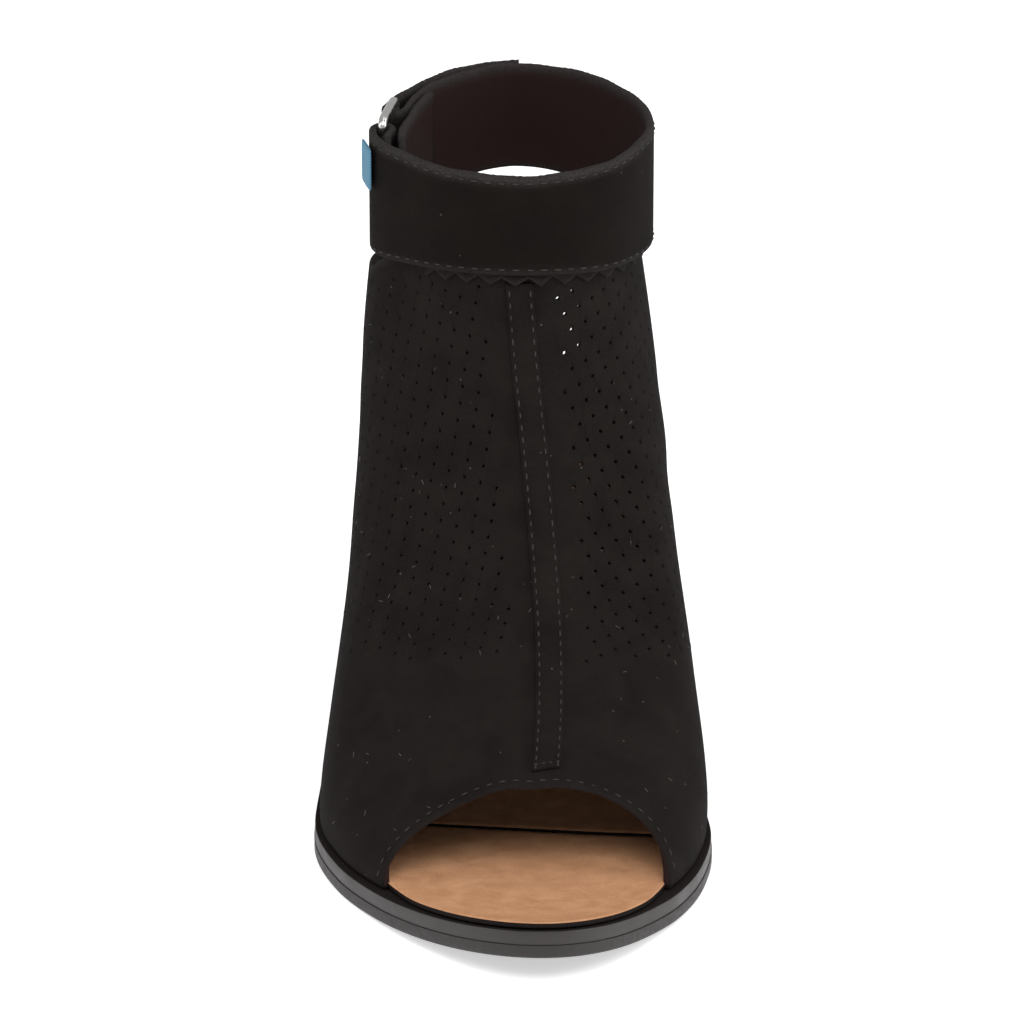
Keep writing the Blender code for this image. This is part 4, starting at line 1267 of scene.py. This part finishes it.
# %% Stitch tree
STITCHES, given, made = new_tree(
    "seam of stitches",
    "GeometryNodeTree",
    [("Geometry", "Geometry"), ("Pitch", "Float", 0.003), ("Stitch Length", "Float", 0.0018),
     ("Thread", "Float", 0.0004), ("Seed", "Int", 7), ("Finish", "Material")],
    [("Geometry", "Geometry")],
)
line = node(STITCHES, "GeometryNodeMeshToCurve", {"Mesh": given["Geometry"]})
spots = node(
    STITCHES, "GeometryNodeResampleCurve", {"Curve": line.outputs["Curve"], "Length": given["Pitch"]}, mode="LENGTH"
)
tangent = node(STITCHES, "GeometryNodeInputTangent")
faces_out = node(STITCHES, "GeometryNodeInputNamedAttribute", {"Name": "out"}, data_type="FLOAT_VECTOR")
turned = node(
    STITCHES, "FunctionNodeAxesToRotation",
    {"Primary Axis": tangent.outputs["Tangent"], "Secondary Axis": faces_out.outputs["Attribute"]},
    primary_axis="X", secondary_axis="Z",
)
egg = node(STITCHES, "GeometryNodeMeshUVSphere", {"Segments": 8, "Rings": 6, "Radius": 0.5})
egg_size = node(
    STITCHES, "ShaderNodeCombineXYZ", {"X": given["Stitch Length"], "Y": given["Thread"], "Z": given["Thread"]}
)
stitch = node(STITCHES, "GeometryNodeTransform", {"Geometry": egg.outputs["Mesh"], "Scale": egg_size.outputs["Vector"]})
uneven = node(
    STITCHES, "FunctionNodeRandomValue", {2: 0.85, 3: 1.12, "Seed": given["Seed"]}, data_type="FLOAT"
)
placed = node(
    STITCHES, "GeometryNodeInstanceOnPoints",
    {"Points": spots.outputs["Curve"], "Instance": stitch.outputs["Geometry"], "Rotation": turned.outputs["Rotation"],
     "Scale": uneven.outputs[1]},
)
real = node(STITCHES, "GeometryNodeRealizeInstances", {"Geometry": placed.outputs["Instances"]})
soft = node(STITCHES, "GeometryNodeSetShadeSmooth", {"Geometry": real.outputs["Geometry"]})
finished = node(STITCHES, "GeometryNodeSetMaterial", {"Geometry": soft.outputs["Geometry"], "Material": given["Finish"]})
STITCHES.links.new(finished.outputs["Geometry"], made["Geometry"])


def seam(name, lines, pitch, length=0.0018, thread=0.00042, material=THREAD, slot="black_suede"):
    """Stitches along lines, each given as its points and their outward directions."""
    points, normals, edges, count = [], [], [], 0
    for line_points_, line_normals in lines:
        points.append(line_points_)
        normals.append(line_normals)
        edges += [(count + k, count + k + 1) for k in range(len(line_points_) - 1)]
        count += len(line_points_)
    path = marked_points(name + " line", np.vstack(points), np.vstack(normals), edges)
    made = made_by_nodes(name, path, STITCHES, pitch=pitch, stitch_length=length, thread=thread, finish=material)
    return shown(made, None, slot)


# %% [markdown]
# The seams: two rows down the strip with a cross row at its lower end, one row round the toe opening, two rows round
# the cuff, two on the loose strap end, and one along the top edge of the heel counter.

# %% Seams
def on_surface(turn, height, out):
    turn, height = np.broadcast_arrays(turn, height)
    return on_upper(turn, height, 0 * turn + out), upper_normal(turn, height)


def strip_row(across, first, last, count=120):
    heights = np.linspace(first, last, count)
    middle = smooth(STRIP_LINE["height"], STRIP_LINE["across"], heights)
    return on_surface(turn_at_width(heights, middle + across), heights, GAP + STRIP * 0.92)


STITCH_INSET = 0.0024
strip_low = STRIP_LINE["height"][0] + 0.004
strip_rows = [strip_row(-STITCH_INSET, 0.984, strip_low), strip_row(STITCH_INSET, 0.984, strip_low)]
cross_height = np.full(30, STRIP_LINE["height"][0] + 0.008)
cross_middle = smooth(STRIP_LINE["height"], STRIP_LINE["across"], cross_height)
cross_row = on_surface(
    turn_at_width(cross_height, cross_middle + np.linspace(-STITCH_INSET, STITCH_INSET, 30)), cross_height, GAP + STRIP * 0.95
)
seam("strip_stitches", strip_rows, 0.0029, 0.0016)
seam("strip_end_stitches", [cross_row], 0.0016, 0.0010)


def beside_edge(turns, heights, distance):
    """A line on the upper that runs beside an edge, at this distance up the surface from it."""
    edge_points = upper_base(turns, heights)
    normals = upper_normal(turns, heights)
    along = unit(np.gradient(edge_points, axis=0))
    aside = np.cross(normals, along) * distance
    by_turn = (upper_base(turns + 0.001, heights) - upper_base(turns - 0.001, heights)) / 0.002
    by_height = (upper_base(turns, heights + 0.001) - upper_base(turns, heights - 0.001)) / 0.002
    moved = [
        np.linalg.lstsq(np.stack([a, b], axis=1), move, rcond=None)[0] for a, b, move in zip(by_turn, by_height, aside)
    ]
    moved = np.array(moved)
    return turns + moved[:, 0], heights + moved[:, 1]


corner = float(turn_of(CORNER_BACK / LENGTH))
opening_turns = OPENING_MIDDLE + np.sin(np.linspace(-pi / 2 + 0.12, pi / 2 - 0.12, 160)) * np.where(
    np.linspace(-1, 1, 160) > 0, corner - OPENING_MIDDLE, corner + OPENING_MIDDLE
)
row_turns, row_heights = beside_edge(opening_turns, opening_edge(opening_turns), 0.0023)
if row_heights[80] < opening_edge(opening_turns)[80]:
    row_turns, row_heights = beside_edge(opening_turns, opening_edge(opening_turns), -0.0023)
seam("opening_stitches", [on_surface(row_turns, row_heights, 0.00005)], 0.0030, 0.0016)


def round_cuff(first, last, layers, from_top=None, from_bottom=None, out=1.0):
    """A line on a face of the cuff, measured from its top or its bottom edge."""
    angles = np.linspace(first, last, 240)
    inward = STRAP_LAYER * layers(angles) + STRAP / 2 - out * (STRAP / 2 + 0.00008)
    plan, direction = round_ankle(CUFF_WIDTH, CUFF_DEPTH, np.radians(angles), inward)
    z = cuff_top(plan[:, 1]) - from_top if from_top else cuff_bottom(plan[:, 0], plan[:, 1]) + from_bottom
    return stacked(plan[:, 0], plan[:, 1], z), stacked(direction[:, 0], direction[:, 1], 0 * z)


def on_run(angles):
    return smooth(CUFF_LINE["angle"], CUFF_LINE["layers"], angles)


def on_end(angles):
    return smooth(STRAP_END_LINE["angle"], STRAP_END_LINE["layers"], angles)


FROM_EDGE = 0.0017
cuff_rows = [
    round_cuff(-74, 172, on_run, from_top=FROM_EDGE), round_cuff(-74, 172, on_run, from_bottom=FROM_EDGE),
    round_cuff(179, 250, on_end, from_top=FROM_EDGE), round_cuff(179, 250, on_end, from_bottom=FROM_EDGE),
]
seam("cuff_stitches", cuff_rows, 0.0033, 0.0018)

counter_turns = np.linspace(2.0, 2 * pi - 2.0, 240)
counter = beside_edge(counter_turns, top_edge(counter_turns), 0.0024)
if counter[1][120] > top_edge(counter_turns)[120]:
    counter = beside_edge(counter_turns, top_edge(counter_turns), -0.0024)
seam("counter_stitches", [on_surface(counter[0], counter[1], 0.00005)], 0.0030, 0.0016)

# %% [markdown]
# ## Lint
# Black suede always holds a few pale fibres. They are scattered with a fixed seed over the front of the upper, each a
# thin short thread that lies flat.

# %% Lint fibres
LINT_TREE, given, made = new_tree(
    "scattered lint",
    "GeometryNodeTree",
    [("Geometry", "Geometry"), ("Amount", "Float", 4000.0), ("Fibre Length", "Float", 0.0012), ("Seed", "Int", 3),
     ("Finish", "Material")],
    [("Geometry", "Geometry")],
)
scattered = node(
    LINT_TREE, "GeometryNodeDistributePointsOnFaces",
    {"Mesh": given["Geometry"], "Density": given["Amount"], "Seed": given["Seed"]},
)
fibre = node(LINT_TREE, "GeometryNodeMeshCylinder", {"Vertices": 4, "Side Segments": 3, "Radius": 0.00004, "Depth": given["Fibre Length"]})
lying = node(LINT_TREE, "GeometryNodeTransform", {"Geometry": fibre.outputs["Mesh"], "Rotation": (pi / 2, 0, 0)})
spin = node(LINT_TREE, "FunctionNodeRandomValue", {0: (0, 0, 0), 1: (0, 0, 6.283), "Seed": given["Seed"]}, data_type="FLOAT_VECTOR")
spun = node(
    LINT_TREE, "FunctionNodeRotateRotation",
    {"Rotation": scattered.outputs["Rotation"], "Rotate By": spin.outputs[0]}, rotation_space="LOCAL",
)
size = node(LINT_TREE, "FunctionNodeRandomValue", {2: 0.3, 3: 1.1, "Seed": given["Seed"]}, data_type="FLOAT")
placed = node(
    LINT_TREE, "GeometryNodeInstanceOnPoints",
    {"Points": scattered.outputs["Points"], "Instance": lying.outputs["Geometry"], "Rotation": spun.outputs["Rotation"],
     "Scale": size.outputs[1]},
)
real = node(LINT_TREE, "GeometryNodeRealizeInstances", {"Geometry": placed.outputs["Instances"]})
finished = node(LINT_TREE, "GeometryNodeSetMaterial", {"Geometry": real.outputs["Geometry"], "Material": given["Finish"]})
LINT_TREE.links.new(finished.outputs["Geometry"], made["Geometry"])

patch_turns = np.linspace(-1.7, 1.7, 60)[:, None]
patch_heights = np.maximum(np.linspace(0.08, 0.9, 30)[None, :], opening_edge(patch_turns) + 0.03)
patch = grid_piece("lint ground", on_upper(patch_turns, patch_heights, 0 * patch_heights + 0.0001), open_sheet=True)
LINT_FIBRE = simple("lint fibre", srgb(96, 92, 90), srgb(130, 126, 122), 900.0, (0.8, 0.95), specular=0.2)
shown(made_by_nodes("lint_fibres", patch, LINT_TREE, amount=7000.0, finish=LINT_FIBRE), None, "black_suede")

# %% [markdown]
# ## Studio
# A white floor and a white sky give the soft, even light of a product photograph. One large lamp above the front makes
# the insole bright, and the floor glows a little so that the shadow stays pale.

# %% Floor and lights
floor_data = bpy.data.meshes.new("floor")
floor_data.from_pydata([(-4, -3, 0), (4, -3, 0), (4, 6, 0), (-4, 6, 0)], [], [(0, 1, 2, 3)])
floor = bpy.data.objects.new("floor", floor_data)
bpy.context.scene.collection.objects.link(floor)
FLOOR_WHITE, tree, shader, where = new_material("white floor")
shader.inputs["Base Color"].default_value = (0.9, 0.9, 0.9, 1)
shader.inputs["Roughness"].default_value = 0.9
shader.inputs["Specular IOR Level"].default_value = 0.0
shader.inputs["Emission Color"].default_value = (1, 1, 1, 1)
shader.inputs["Emission Strength"].default_value = 0.5
floor_data.materials.append(FLOOR_WHITE)
floor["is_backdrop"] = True

sky = bpy.data.worlds.new("white sky")
sky.use_nodes = True
sky.node_tree.nodes["Background"].inputs["Color"].default_value = (1, 1, 1, 1)
sky.node_tree.nodes["Background"].inputs["Strength"].default_value = 0.5
bpy.context.scene.world = sky
bpy.context.scene.view_settings.view_transform = "Standard"


def lamp(name, place, size, power):
    data = bpy.data.lights.new(name, "AREA")
    data.shape = "RECTANGLE"
    data.size, data.size_y = size
    data.energy = power
    made = bpy.data.objects.new(name, data)
    made.location = place
    made.rotation_euler = (Vector((0, 0, 0.05)) - made.location).to_track_quat("-Z", "Y").to_euler()
    bpy.context.scene.collection.objects.link(made)


lamp("soft box above", (0.1, -1.0, 1.4), (1.4, 1.0), 17.5)
lamp("soft box right", (1.3, -0.3, 0.6), (0.7, 0.9), 7)
lamp("soft box left", (-1.3, -0.3, 0.6), (0.7, 0.9), 4)

# %% [markdown]
# Last, the box of the finished model is printed.

# %% Sizes and end
low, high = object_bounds()
print("visual box:", [round(v, 4) for v in low], [round(v, 4) for v in high])
